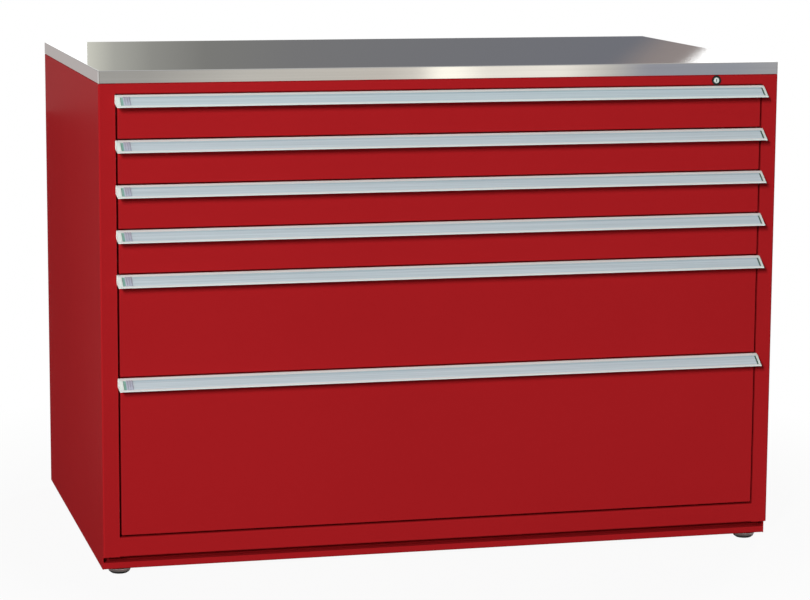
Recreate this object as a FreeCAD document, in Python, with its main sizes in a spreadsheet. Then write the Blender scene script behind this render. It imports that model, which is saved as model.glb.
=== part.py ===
import FreeCAD, Part
import os
import re
import Sketcher

# A free-standing drawer cabinet of folded sheet steel with a stainless worktop and six
# drawers on two-stage runners, which are locked together by one cylinder lock.
# X runs across the front, Y towards the back and Z up. The origin is on the floor, in the
# middle of the footprint with the handles. All sizes are millimetres.

os.makedirs("parts", exist_ok=True)
doc = FreeCAD.newDocument("drawer_cabinet")

# ---------------------------------------------------------------- driving sizes

SIZES = [
    ("cabinet_width", 1193, "outside, over the side panels"),
    ("cabinet_depth", 725, "housing, front of the stiles to the back"),
    ("housing_gauge", 1.5, "sheet of the housing"),
    ("bend_radius", 1, "inside radius of a fold"),
    ("foot_clearance", 10, "floor to the underside of the base"),
    ("base_height", 57, "underside of the base to the first drawer"),
    ("strip_height", 11.5, "front lip of the base strip"),
    ("recess_height", 12, "shadow gap over the base strip"),
    ("base_setback", 12, "base strip behind the front"),
    ("recess_depth", 56, "back of the shadow gap behind the front"),
    ("floor_drop", 2, "floor panel under the line of the lowest drawer"),
    ("ear_play", 0.5, "ears of the floor panel inside the stiles"),
    ("overcut", 1, "cuts start this far outside the metal"),
    ("top_rail_height", 17, "last drawer to the worktop"),
    ("rail_depth", 25, "flanges of the top and bottom rails"),
    ("worktop_height", 22, "skin and board together"),
    ("skin_gauge", 1.2, "stainless skin"),
    ("skin_return", 15, "skin folded under the board"),
    ("skin_radius", 1.2, "upper and lower edges of the worktop"),
    ("corner_joint", 0.6, "open joint of the skin beside each upright corner"),
    ("stile_width", 28, "visible width beside the drawers"),
    ("stile_return", 20, "fold of the stile into the housing"),
    ("rear_flange", 20, "fold of a side panel behind the back panel"),
    ("panel_flange", 15, "folds of the back and floor panels"),
    ("shallow_front", 75, "pitch of a shallow drawer"),
    ("medium_front", 175, "pitch of the medium drawer"),
    ("deep_front", 275, "pitch of the deep drawer"),
    ("front_proud", 1, "drawer fronts before the stiles"),
    ("front_side_gap", 3.5, "drawer front to stile"),
    ("front_gap", 2.2, "drawer front to drawer front"),
    ("bottom_gap", 4, "lowest drawer front to the bottom rail"),
    ("front_gauge", 1.2, "sheet of the drawer fronts"),
    ("front_depth", 18, "folded edges of the drawer fronts"),
    ("tray_inside_width", 1088, "64 divider pitches of 17"),
    ("tray_inside_depth", 612, "36 divider pitches of 17"),
    ("tray_gauge", 1, "sheet of the trays"),
    ("tray_lift", 8, "tray over the line of its drawer"),
    ("rim_width", 6, "rolled rim of a tray"),
    ("shallow_wall", 54, "tray height of a shallow drawer"),
    ("medium_wall", 150, "tray height of the medium drawer"),
    ("deep_wall", 200, "tray height of the deep drawer"),
    ("handle_reach", 27, "handle before the drawer front"),
    ("handle_drop", 19, "height of the handle"),
    ("handle_leg", 16, "leg of the handle on the front"),
    ("handle_wall", 1.8, "wall of the extrusion"),
    ("handle_edge", 0.6, "rounded edges of the extrusion"),
    ("ledge_flat", 1.5, "level start of the upper lip"),
    ("nose_height", 1.4, "front face of the lower lip"),
    ("nose_flat", 2.8, "level underside of the lower lip"),
    ("nose_back", 2.1, "lower lip behind the label groove"),
    ("nose_rise", 1, "foot of the lower lip over its underside"),
    ("ledge_reach", 6.5, "upper lip of the handle"),
    ("ledge_drop", 2.8, "fall of the upper lip"),
    ("label_width", 21.4, "label groove, along the slope"),
    ("label_angle", 36.87, "slope of the label groove, degrees"),
    ("groove_depth", 1.5, "label groove under the lips"),
    ("label_gauge", 1, "label strip with its clear cover"),
    ("label_play", 0.5, "label strip to the lips of the groove"),
    ("cap_width", 4, "plastic end cap of a handle"),
    ("cap_overhang", 1, "cap over the edge of the stile"),
    ("tab_gauge", 0.6, "tab of the left cap in the label groove"),
    ("clip_start", 8, "left cap to the clip on its tab"),
    ("clip_width", 12, "ribbed clip that holds the label strip"),
    ("clip_rise", 0.2, "clip over the lips of the groove"),
    ("rib_rise", 0.8, "ribs over the lips of the groove"),
    ("rib_width", 2, "ribs of the clip"),
    ("rib_pitch", 4, "ribs of the clip"),
    ("rib_count", 3, "ribs of the clip"),
    ("label_end_gap", 3, "end of the label strip to the right cap"),
    ("runner_height", 30, "centre of a runner over the line of its drawer"),
    ("runner_space", 25.5, "tray to upright"),
    ("runner_gauge", 1.5, "sheet of the runner rails"),
    ("carriage_play", 1, "carriage bar to the mouth of the housing rail"),
    ("runner_half", 11.5, "half the height of a runner rail"),
    ("runner_lip", 11, "depth of a runner rail"),
    ("runner_inset", 24, "runners behind the front"),
    ("housing_rail_length", 690, "rail that stays in the housing"),
    ("carriage_length", 640, "middle part of a runner"),
    ("carriage_gauge", 2, "bar of the carriage"),
    ("carriage_half", 9.5, "half the height of the carriage bar"),
    ("roller_radius", 9.5, "rollers of the carriage"),
    ("roller_width", 7, "rollers of the carriage"),
    ("roller_inset", 20, "roller to the end of the bar"),
    ("upright_gauge", 2, "sheet of the uprights"),
    ("upright_width", 40, "web of an upright"),
    ("upright_gap", 2, "front upright behind the return of the stile"),
    ("rear_upright_gap", 10, "rear upright before the flange of the side panel"),
    ("slot_pitch", 75, "hook slots of the uprights"),
    ("slot_inset", 24, "hook slots behind the edge of an upright"),
    ("first_slot", 10, "lowest hook slot over the line of the lowest drawer"),
    ("slot_width", 4, "hook slots of the uprights"),
    ("slot_height", 10, "hook slots of the uprights"),
    ("foot_inset", 31, "foot centre to the side of the cabinet"),
    ("foot_front_inset", 31, "foot centre to the front or back"),
    ("foot_radius", 20, "widest part of a foot"),
    ("foot_sole_radius", 14, "sole of a foot"),
    ("foot_height", 9.5, "foot under its spindle"),
    ("foot_rim", 2, "upright rim of a foot"),
    ("foot_waist", 2.6, "height of the turn in the side of a foot"),
    ("foot_waist_radius", 17.5, "turn in the side of a foot"),
    ("spindle_radius", 5, "M10 foot spindle"),
    ("spindle_length", 12.5, "M10 foot spindle"),
    ("spindle_opening", 13, "opening of the base strip round a spindle"),
    ("bracket_width", 38, "foot bracket"),
    ("bracket_gauge", 3, "foot bracket"),
    ("lock_inset", 114, "lock centre to the right side"),
    ("lock_ring_radius", 8.4, "rosette of the lock"),
    ("lock_ring_depth", 2.5, "rosette before the rail"),
    ("lock_ring_bevel", 1, "edge of the rosette"),
    ("barrel_radius", 6.8, "lock barrel"),
    ("barrel_length", 26, "lock barrel behind the rail's face"),
    ("plug_radius", 5, "turning plug"),
    ("plug_clearance", 0.05, "plug in its barrel, on radius"),
    ("plug_inset", 0.5, "plug behind the face of the rosette"),
    ("key_width", 1.2, "keyway"),
    ("key_height", 6.5, "keyway"),
    ("key_depth", 14, "keyway"),
    ("cam_gap", 1, "cam behind the barrel"),
    ("cam_gauge", 2.5, "cam on the plug"),
    ("cam_throw", 6, "cam pin beside and below the plug's axis"),
    ("cam_hub_radius", 6, "cam round the plug's axis"),
    ("cam_tip_radius", 4, "cam round its pin"),
    ("cam_pin_radius", 2, "cam pin"),
    ("cam_pin_play", 0.6, "cam pin in the slot of the link, on radius"),
    ("bar_gauge", 2.5, "link"),
    ("link_setback", 31, "link behind the front"),
    ("link_play", 0.3, "link to the back of its window in the upright"),
    ("link_drop", 2.5, "upper edge of the link under the plug's axis"),
    ("link_height", 12, "link"),
    ("link_tail", 8, "link beyond the cam pin"),
    ("ramp_rise", 14, "ramp of the link, at 45 degrees"),
    ("link_toe", 7, "link under the foot of its ramp"),
    ("bar_inset", 16.5, "lock bar and link end to the side of the cabinet"),
    ("bar_setback", 35, "lock bar behind the front"),
    ("bar_left", 4, "spine of the lock bar, left of the link's end"),
    ("bar_right", 8, "spine of the lock bar, right of the link's end"),
    ("bar_head", 4, "spine of the lock bar over its follower"),
    ("tongue_low", 1, "tongue over the line of its drawer, unlocked"),
    ("tongue_reach", 15, "tongue of the lock bar"),
    ("tongue_height", 4, "tongue of the lock bar"),
    ("tongue_width", 3, "lock bar along Y"),
    ("window_height", 18, "window of a tongue in the upright"),
    ("window_play", 1, "window round a tongue"),
    ("follower_radius", 2.5, "pin of the lock bar over the link's ramp"),
    ("follower_play", 0.3, "follower to the ramp"),
    ("lug_gap", 6, "lug of a tray behind its tongue"),
    ("lug_gauge", 4, "lug of a tray"),
    ("lug_low", 12.5, "lug over the line of its drawer"),
    ("lug_height", 4.5, "lug of a tray"),
    ("lug_end_gap", 4.5, "lug to the upright"),
]

sheet = doc.addObject("Spreadsheet::Sheet", "Sizes")
for row, (alias, value, note) in enumerate(SIZES, start=1):
    sheet.set(f"A{row}", alias)
    sheet.set(f"B{row}", str(value))
    sheet.set(f"C{row}", note)
    sheet.setAlias(f"B{row}", alias)
doc.recompute()

# Levels and planes that many sub-parts share, in terms of the driving sizes
SIDE = "(cabinet_width / 2)"
INNER_SIDE = "(cabinet_width / 2 - housing_gauge)"
FRONT = "((handle_reach + front_proud - cabinet_depth) / 2)"
REAR = "((handle_reach + front_proud + cabinet_depth) / 2)"
OPENING_SIDE = "(cabinet_width / 2 - stile_width)"
OPENING_LOW = "(foot_clearance + base_height)"
OPENING_HIGH = f"({OPENING_LOW} + 4 * shallow_front + medium_front + deep_front)"
HOUSING_HIGH = f"({OPENING_HIGH} + top_rail_height)"
RAIL_LOW = "(foot_clearance + strip_height + recess_height)"
FACE = f"({FRONT} - front_proud)"
TRAY_SIDE = "(tray_inside_width / 2 + tray_gauge)"
TRAY_FRONT = f"({FACE} + front_depth)"
TRAY_DEPTH = "(tray_inside_depth + 2 * tray_gauge)"
UPRIGHT_FACE = f"({TRAY_SIDE} + runner_space)"
BAR_FRONT = f"({FRONT} + bar_setback)"

# From the top: the pitch and the wall height of each drawer
DRAWERS = [("shallow_front", "shallow_wall")] * 4
DRAWERS += [("medium_front", "medium_wall"), ("deep_front", "deep_wall")]

LEFT_AND_RIGHT = ((-1, "left"), (1, "right"))

# ------------------------------------------------------------- drawing functions

PLANES = {"top": "XY_Plane", "front": "XZ_Plane", "side": "YZ_Plane"}
AXES = {"top": (0, 1), "front": (0, 2), "side": (1, 2)}
bodies = []


def bound(text):
    """The expression with its aliases bound to the sheet."""
    for alias, _, _ in SIZES:
        text = re.sub(rf"\b{alias}\b", f"Sizes.{alias}", text)
    return text


def number(text):
    """The value of an expression at the sheet's present sizes."""
    value = sheet.evalExpression(bound(text))
    return float(getattr(value, "Value", value))


def new_body(label, lift=None):
    """An empty sub-part, whose own floor may be lifted over the cabinet's."""
    body = doc.addObject("PartDesign::Body", label)
    body.Label = label
    if lift:
        body.setExpression("Placement.Base.z", bound(lift))
    bodies.append(body)
    return body


def new_sketch(body, view, at="0"):
    """A sketch seen from the top, front or side, at a place on the axis it is seen along."""
    plane = next(f for f in body.Origin.OriginFeatures if f.Role == PLANES[view])
    sketch = body.newObject("Sketcher::SketchObject", f"{body.Label}_{view}")
    sketch.AttachmentSupport = [(plane, "")]
    sketch.MapMode = "FlatFace"
    offset = f"-({at})" if view == "front" else at
    sketch.setExpression("AttachmentOffset.Base.z", bound(offset))
    return sketch


def outline(sketch, corners):
    """A closed outline of straight lines, each corner held from the sketch's origin."""
    first = sketch.GeometryCount
    count = len(corners)
    places = [FreeCAD.Vector(number(x), number(y), 0) for x, y in corners]
    for here in range(count):
        sketch.addGeometry(Part.LineSegment(places[here], places[(here + 1) % count]))
    for here, (x, y) in enumerate(corners):
        line = first + here
        following = first + (here + 1) % count
        sketch.addConstraint(Sketcher.Constraint("Coincident", line, 2, following, 1))
        across = Sketcher.Constraint("DistanceX", -1, 1, line, 1, places[here].x)
        sketch.setExpression(f"Constraints[{sketch.addConstraint(across)}]", bound(x))
        upward = Sketcher.Constraint("DistanceY", -1, 1, line, 1, places[here].y)
        sketch.setExpression(f"Constraints[{sketch.addConstraint(upward)}]", bound(y))


def rectangle(sketch, x1, x2, y1, y2):
    outline(sketch, [(x1, y1), (x2, y1), (x2, y2), (x1, y2)])


def circle(sketch, x, y, radius):
    centre = FreeCAD.Vector(number(x), number(y), 0)
    normal = FreeCAD.Vector(0, 0, 1)
    ring = sketch.addGeometry(Part.Circle(centre, normal, number(radius)))
    held = (
        (Sketcher.Constraint("DistanceX", -1, 1, ring, 3, centre.x), x),
        (Sketcher.Constraint("DistanceY", -1, 1, ring, 3, centre.y), y),
        (Sketcher.Constraint("Radius", ring, number(radius)), radius),
    )
    for constraint, text in held:
        sketch.setExpression(f"Constraints[{sketch.addConstraint(constraint)}]", bound(text))


def many_sided(sketch, x, y, radius, sides):
    """A roller's outline as a regular polygon, for the many rollers inside the runners."""
    turns = [f"{step} * 360 / {sides}" for step in range(sides)]
    outline(sketch, [(f"{x} + {radius} * cos({turn})", f"{y} + {radius} * sin({turn})")
                     for turn in turns])


def folded(sketch, gauge, line):
    """The section of a folded sheet.

    line gives its outer corners as (x, y, in_x, in_y), where the last two say on which
    side the metal lies. Returns the outer and the inner corners of the folds.
    """
    outer = [(x, y) for x, y, _, _ in line]
    inner = [(f"{x} + {i} * {gauge}", f"{y} + {j} * {gauge}") for x, y, i, j in line]
    outline(sketch, outer + inner[::-1])
    return outer[1:-1], inner[1:-1]


def pad(sketch, length, middle=False):
    """Metal from the sketch towards the positive end of its axis, or both ways."""
    body = sketch.getParentGeoFeatureGroup()
    feature = body.newObject("PartDesign::Pad", f"{body.Label}_pad")
    feature.Profile = sketch
    feature.setExpression("Length", bound(length))
    feature.Midplane = middle
    seen_from_front = sketch.AttachmentSupport[0][0].Role == PLANES["front"]
    feature.Reversed = seen_from_front and not middle
    return feature


def pocket(sketch, depth):
    """A cut from the sketch towards the positive end of its axis, which must remove metal."""
    body = sketch.getParentGeoFeatureGroup()
    doc.recompute()
    before = body.Tip.Shape.Volume
    feature = body.newObject("PartDesign::Pocket", f"{body.Label}_pocket")
    feature.Profile = sketch
    feature.setExpression("Length", bound(depth))
    feature.Reversed = sketch.AttachmentSupport[0][0].Role != PLANES["front"]
    doc.recompute()
    if feature.Shape.Volume > before - 0.01:
        raise RuntimeError(f"a pocket of {body.Label} cuts nothing")
    return feature


def repeat(feature, sketch, axis, pitch, count):
    """Copies of a feature in a row, along the sketch's own H_Axis or V_Axis."""
    body = sketch.getParentGeoFeatureGroup()
    pattern = body.newObject("PartDesign::LinearPattern", f"{body.Label}_row")
    pattern.Originals = [feature]
    pattern.Direction = (sketch, [axis])
    pattern.Mode = "Spacing"
    pattern.setExpression("Offset", bound(pitch))
    pattern.setExpression("Occurrences", bound(count))
    body.Tip = pattern
    return pattern


def mirror(features):
    """The same features on the other side of the cabinet's middle."""
    body = features[0].getParentGeoFeatureGroup()
    middle = next(f for f in body.Origin.OriginFeatures if f.Role == PLANES["side"])
    mirrored = body.newObject("PartDesign::Mirrored", f"{body.Label}_other_side")
    mirrored.Originals = features
    mirrored.MirrorPlane = (middle, [""])
    body.Tip = mirrored
    return mirrored


def edges_along(shape, view, places):
    """The straight edges that run along the view's axis through the places."""
    first, second = AXES[view]
    names = []
    for index, edge in enumerate(shape.Edges, start=1):
        ends = [vertex.Point for vertex in edge.Vertexes]
        for a, b in places:
            offsets = [abs(end[first] - number(a)) + abs(end[second] - number(b))
                       for end in ends]
            if len(ends) == 2 and max(offsets) < 0.01:
                names.append(f"Edge{index}")
    return names


def round_edges(body, radius, view, places):
    """A fillet on the edges that run along the view's axis through the places."""
    doc.recompute()
    base = body.Tip
    fillet = body.newObject("PartDesign::Fillet", f"{body.Label}_fillet")
    fillet.Base = (base, edges_along(base.Shape, view, places))
    fillet.setExpression("Radius", bound(radius))


def bevel_edges(body, width, view, places):
    """A chamfer on the edges that run along the view's axis through the places."""
    doc.recompute()
    base = body.Tip
    chamfer = body.newObject("PartDesign::Chamfer", f"{body.Label}_chamfer")
    chamfer.Base = (base, edges_along(base.Shape, view, places))
    chamfer.setExpression("Size", bound(width))


def round_folds(body, view, folds, gauge):
    """Rounds the outside and the inside of each fold, so that the sheet keeps its gauge."""
    outer, inner = folds
    round_edges(body, f"{gauge} + bend_radius", view, outer)
    round_edges(body, "bend_radius", view, inner)


# ------------------------------------------------------------------ the housing

# A side panel folds into the stile at the front and into a flange at the back. The fold at
# the opening stays sharp, so that the rails lie flush with it. The lower corner is cut
# back to the line of the base strip.
for sign, name in LEFT_AND_RIGHT:
    panel = new_body(f"side_panel_{name}")
    plan = new_sketch(panel, "top", "foot_clearance")
    folds = folded(plan, "housing_gauge", [
        (f"{sign} * {OPENING_SIDE}", f"{FRONT} + stile_return", sign, 0),
        (f"{sign} * {OPENING_SIDE}", FRONT, sign, 1),
        (f"{sign} * {SIDE}", FRONT, -sign, 1),
        (f"{sign} * {SIDE}", REAR, -sign, -1),
        (f"{sign} * ({SIDE} - rear_flange)", REAR, 0, -1),
    ])
    pad(plan, f"{HOUSING_HIGH} - foot_clearance")
    round_folds(panel, "top", [corners[1:] for corners in folds], "housing_gauge")
    corner = new_sketch(panel, "top", "foot_clearance")
    outline(corner, [
        (f"{sign} * ({OPENING_SIDE} - overcut)", f"{FRONT} - overcut"),
        (f"{sign} * ({SIDE} + overcut)", f"{FRONT} - overcut"),
        (f"{sign} * ({SIDE} + overcut)", f"{FRONT} + base_setback"),
        (f"{sign} * {INNER_SIDE}", f"{FRONT} + base_setback"),
        (f"{sign} * {INNER_SIDE}", f"{FRONT} + stile_return + overcut"),
        (f"{sign} * ({OPENING_SIDE} - overcut)", f"{FRONT} + stile_return + overcut"),
    ])
    pocket(corner, "strip_height + recess_height")

# The back panel stands between the folds of the side panels and of the top panel.
back_panel = new_body("back_panel")
section = new_sketch(back_panel, "side")
BACK_OUTER = f"({REAR} - housing_gauge)"
folds = folded(section, "housing_gauge", [
    (f"{BACK_OUTER} - panel_flange", "foot_clearance", 0, 1),
    (BACK_OUTER, "foot_clearance", -1, 1),
    (BACK_OUTER, f"{HOUSING_HIGH} - housing_gauge", -1, -1),
    (f"{BACK_OUTER} - panel_flange", f"{HOUSING_HIGH} - housing_gauge", 0, -1),
])
pad(section, f"2 * ({INNER_SIDE} - housing_gauge - bend_radius)", middle=True)
round_folds(back_panel, "side", folds, "housing_gauge")

# The top and floor panels are shallow pans whose sides are screwed to the side panels.
# Their folds are hidden in the housing and stay sharp, as do those of the uprights.
PANS = (
    ("top_panel", HOUSING_HIGH, f"{FRONT} + rail_depth", "top_rail_height"),
    ("floor_panel", f"({OPENING_LOW} - floor_drop)", f"{FRONT} + rail_depth", "panel_flange"),
)
for name, level, start, flange in PANS:
    pan = new_body(name)
    section = new_sketch(pan, "front", start)
    folded(section, "housing_gauge", [
        (f"-{INNER_SIDE}", f"{level} - {flange}", 1, 0),
        (f"-{INNER_SIDE}", level, 1, -1),
        (INNER_SIDE, level, -1, -1),
        (INNER_SIDE, f"{level} - {flange}", -1, 0),
    ])
    pad(section, f"{REAR} - 2 * housing_gauge - ({start})")
    if name == "floor_panel":
        # its two ears close the corners behind the stiles
        ears = new_sketch(pan, "top", f"{level} - housing_gauge")
        for sign in (-1, 1):
            rectangle(ears, f"{sign} * ({OPENING_SIDE} + housing_gauge + ear_play)",
                      f"{sign} * {INNER_SIDE}",
                      f"{FRONT} + housing_gauge + ear_play", start)
        pad(ears, "housing_gauge")

# The top and bottom rails are channels between the stiles.
RAILS = (
    ("top_rail", OPENING_HIGH, HOUSING_HIGH),
    ("bottom_rail", RAIL_LOW, OPENING_LOW),
)
for name, low, high in RAILS:
    rail = new_body(name)
    section = new_sketch(rail, "side")
    folds = folded(section, "housing_gauge", [
        (f"{FRONT} + rail_depth", low, 0, 1),
        (FRONT, low, 1, 1),
        (FRONT, high, 1, -1),
        (f"{FRONT} + rail_depth", high, 0, -1),
    ])
    pad(section, f"2 * {OPENING_SIDE}", middle=True)
    round_folds(rail, "side", folds, "housing_gauge")
    if name == "top_rail":
        lock_hole = new_sketch(rail, "front", f"{FRONT} - overcut")
        circle(lock_hole, f"{SIDE} - lock_inset", f"{HOUSING_HIGH} - top_rail_height / 2",
               "barrel_radius")
        pocket(lock_hole, "housing_gauge + 2 * overcut")

# The base strip is a wide channel set back under the bottom rail: a low lip in front, and
# a web far behind it that closes the shadow gap. The front spindles pass through it.
base_strip = new_body("base_strip")
section = new_sketch(base_strip, "side")
folds = folded(section, "housing_gauge", [
    (f"{FRONT} + base_setback", "foot_clearance + strip_height", 1, 0),
    (f"{FRONT} + base_setback", "foot_clearance", 1, 1),
    (f"{FRONT} + recess_depth", "foot_clearance", -1, 1),
    (f"{FRONT} + recess_depth", RAIL_LOW, -1, 0),
])
pad(section, f"2 * {INNER_SIDE}", middle=True)
round_folds(base_strip, "side", folds, "housing_gauge")
openings = new_sketch(base_strip, "top", "foot_clearance - overcut")
for sign in (-1, 1):
    foot_x = f"{sign} * ({SIDE} - foot_inset)"
    foot_y = f"({FRONT} + foot_front_inset)"
    rectangle(openings, f"{foot_x} - spindle_opening / 2", f"{foot_x} + spindle_opening / 2",
              f"{foot_y} - spindle_opening / 2", f"{foot_y} + spindle_opening / 2")
pocket(openings, "housing_gauge + 2 * overcut")

# Four slotted uprights carry the runners. The front right one also guides the lock bar,
# with a window for each tongue and one for the link.
UPRIGHT_LOW = f"({OPENING_LOW} - floor_drop)"
FRONT_UPRIGHT = f"({FRONT} + stile_return + upright_gap)"
REAR_UPRIGHT = f"({REAR} - rear_flange - rear_upright_gap - upright_width)"
for place, start in (("front", FRONT_UPRIGHT), ("rear", REAR_UPRIGHT)):
    for sign, name in LEFT_AND_RIGHT:
        upright = new_body(f"upright_{place}_{name}")
        plan = new_sketch(upright, "top", UPRIGHT_LOW)
        folded(plan, "upright_gauge", [
            (f"{sign} * {INNER_SIDE}", start, 0, 1),
            (f"{sign} * {UPRIGHT_FACE}", start, sign, 1),
            (f"{sign} * {UPRIGHT_FACE}", f"{start} + upright_width", sign, -1),
            (f"{sign} * {INNER_SIDE}", f"{start} + upright_width", 0, -1),
        ])
        pad(plan, f"{OPENING_HIGH} - {UPRIGHT_LOW}")
        inside = UPRIGHT_FACE if sign > 0 else f"-({UPRIGHT_FACE} + upright_gauge)"
        slot = new_sketch(upright, "side", f"{inside} - overcut")
        slot_low = f"({OPENING_LOW} + first_slot)"
        rectangle(slot, f"{start} + slot_inset", f"{start} + slot_inset + slot_width",
                  slot_low, f"{slot_low} + slot_height")
        first = pocket(slot, "upright_gauge + 2 * overcut")
        slots = f"floor(({OPENING_HIGH} - {OPENING_LOW}) / slot_pitch)"
        repeat(first, slot, "V_Axis", "slot_pitch", slots)
        if place == "front" and sign > 0:
            windows = new_sketch(upright, "side", f"{inside} - overcut")
            line = OPENING_HIGH
            for pitch, _ in DRAWERS:
                line = f"{line} - {pitch}"
                rectangle(windows, f"{BAR_FRONT} - window_play",
                          f"{BAR_FRONT} + tongue_width + window_play",
                          line, f"{line} + window_height")
            rectangle(windows, f"{FRONT} + link_setback - 2 * window_play",
                      f"{FRONT} + link_setback + bar_gauge + link_play",
                      f"{OPENING_HIGH} - link_height - bar_head", f"{OPENING_HIGH} + overcut")
            pocket(windows, "upright_gauge + 2 * overcut")

# The rails of the runners that stay in the housing: a channel for each drawer and side
for sign, name in LEFT_AND_RIGHT:
    rails = new_body(f"housing_rails_{name}")
    section = new_sketch(rails, "front", f"{FRONT} + runner_inset")
    line = OPENING_HIGH
    for pitch, _ in DRAWERS:
        line = f"{line} - {pitch}"
        high = f"{line} + runner_height + runner_half"
        low = f"{line} + runner_height - runner_half"
        open_side = f"{sign} * ({UPRIGHT_FACE} - runner_lip)"
        folded(section, "runner_gauge", [
            (open_side, high, 0, -1),
            (f"{sign} * {UPRIGHT_FACE}", high, -sign, -1),
            (f"{sign} * {UPRIGHT_FACE}", low, -sign, 1),
            (open_side, low, 0, 1),
        ])
    pad(section, "housing_rail_length")

# ------------------------------------------------------------------ the worktop

# A stainless skin is folded round a board, down its four edges and back under it. The
# walls meet in a fine open joint at each corner.
worktop_skin = new_body("worktop_skin")
plan = new_sketch(worktop_skin, "top", HOUSING_HIGH)
rectangle(plan, f"-{SIDE}", SIDE, FRONT, REAR)
pad(plan, "worktop_height")
for level, ease in ((HOUSING_HIGH, bevel_edges),
                    (f"{HOUSING_HIGH} + worktop_height", round_edges)):
    ease(worktop_skin, "skin_radius", "side", [(place, level) for place in (FRONT, REAR)])
    ease(worktop_skin, "skin_radius", "front", [(f"-{SIDE}", level), (SIDE, level)])
mouth = new_sketch(worktop_skin, "top", HOUSING_HIGH)
rectangle(mouth, f"-({SIDE} - skin_return)", f"{SIDE} - skin_return",
          f"{FRONT} + skin_return", f"{REAR} - skin_return")
pocket(mouth, "skin_gauge")
BOARD = (f"-({SIDE} - skin_gauge)", f"{SIDE} - skin_gauge",
         f"{FRONT} + skin_gauge", f"{REAR} - skin_gauge")
cavity = new_sketch(worktop_skin, "top", f"{HOUSING_HIGH} + skin_gauge")
rectangle(cavity, *BOARD)
pocket(cavity, "worktop_height - 2 * skin_gauge")
joints = new_sketch(worktop_skin, "top", f"{HOUSING_HIGH} - overcut")
for sign in (-1, 1):
    wall_x = f"{sign} * ({SIDE} - skin_gauge)"
    joint_x = f"{sign} * ({SIDE} - skin_gauge - corner_joint)"
    rectangle(joints, joint_x, wall_x, f"{FRONT} - overcut", f"{FRONT} + skin_gauge")
    rectangle(joints, joint_x, wall_x, f"{REAR} - skin_gauge", f"{REAR} + overcut")
pocket(joints, "overcut + worktop_height - skin_radius")

worktop_core = new_body("worktop_core")
plan = new_sketch(worktop_core, "top", f"{HOUSING_HIGH} + skin_gauge")
rectangle(plan, *BOARD)
pad(plan, "worktop_height - 2 * skin_gauge")

# --------------------------------------------------------------------- the feet

FOOT_PLACES = [(f"{sign} * ({SIDE} - foot_inset)", y) for sign in (-1, 1)
               for y in (f"({FRONT} + foot_front_inset)", f"({REAR} - foot_front_inset)")]

# A foot is a round bowl that swivels on the end of its spindle. The left pair is turned,
# each about its own axis, and mirrored to the right.
foot_pads = new_body("foot_pads")
bowls = []
for x, y in FOOT_PLACES[:2]:
    half = new_sketch(foot_pads, "front", y)
    outline(half, [
        (x, "foot_height"),
        (x, "0"),
        (f"{x} + foot_sole_radius", "0"),
        (f"{x} + foot_waist_radius", "foot_waist"),
        (f"{x} + foot_radius", "foot_height - foot_rim"),
        (f"{x} + foot_radius", "foot_height"),
    ])
    bowl = foot_pads.newObject("PartDesign::Revolution", "foot_bowl")
    bowl.Profile = half
    bowl.ReferenceAxis = (half, ["Edge1"])
    bowl.Angle = 360
    bowls.append(bowl)
mirror(bowls)

foot_spindles = new_body("foot_spindles")
spindles = new_sketch(foot_spindles, "top", "foot_height")
for x, y in FOOT_PLACES:
    circle(spindles, x, y, "spindle_radius")
pad(spindles, "spindle_length")

# A bracket in each corner of the base carries a foot: in front it lies in the channel of
# the base strip, and at the back on the lower fold of the back panel.
foot_brackets = new_body("foot_brackets")
plates = new_sketch(foot_brackets, "top", "foot_clearance + housing_gauge")
for sign in (-1, 1):
    outer_x = f"{sign} * {INNER_SIDE}"
    inner_x = f"{sign} * ({INNER_SIDE} - bracket_width)"
    front_y = f"({FRONT} + base_setback + housing_gauge + bend_radius)"
    rear_y = f"({REAR} - 2 * housing_gauge - bend_radius)"
    rectangle(plates, inner_x, outer_x, front_y, f"{front_y} + bracket_width")
    rectangle(plates, inner_x, outer_x, f"{rear_y} - bracket_width", rear_y)
for x, y in FOOT_PLACES:
    circle(plates, x, y, "spindle_radius")
pad(plates, "bracket_gauge")

# --------------------------------------------------------------------- the lock

LOCK_X = f"({SIDE} - lock_inset)"
LOCK_Z = f"({HOUSING_HIGH} - top_rail_height / 2)"
ROSETTE_FRONT = f"({FRONT} - lock_ring_depth)"
LINK_FRONT = f"({FRONT} + link_setback)"
CAM_START = f"({FRONT} + barrel_length + cam_gap)"

lock_barrel = new_body("lock_barrel")
rosette = new_sketch(lock_barrel, "front", ROSETTE_FRONT)
circle(rosette, LOCK_X, LOCK_Z, "lock_ring_radius")
pad(rosette, "lock_ring_depth")
barrel = new_sketch(lock_barrel, "front", FRONT)
circle(barrel, LOCK_X, LOCK_Z, "barrel_radius")
pad(barrel, "barrel_length")
bore = new_sketch(lock_barrel, "front", f"{ROSETTE_FRONT} - overcut")
circle(bore, LOCK_X, LOCK_Z, "plug_radius + plug_clearance")
pocket(bore, "lock_ring_depth + barrel_length + 2 * overcut")
bored = lock_barrel.Tip
rims = [f"Edge{index}" for index, edge in enumerate(bored.Shape.Edges, start=1)
        if edge.BoundBox.YMax < number(ROSETTE_FRONT) + 0.01
        and edge.BoundBox.XLength > number("2 * lock_ring_radius") - 0.01]
ring_bevel = lock_barrel.newObject("PartDesign::Chamfer", "lock_ring_bevel")
ring_bevel.Base = (bored, rims)
ring_bevel.setExpression("Size", bound("lock_ring_bevel"))

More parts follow.
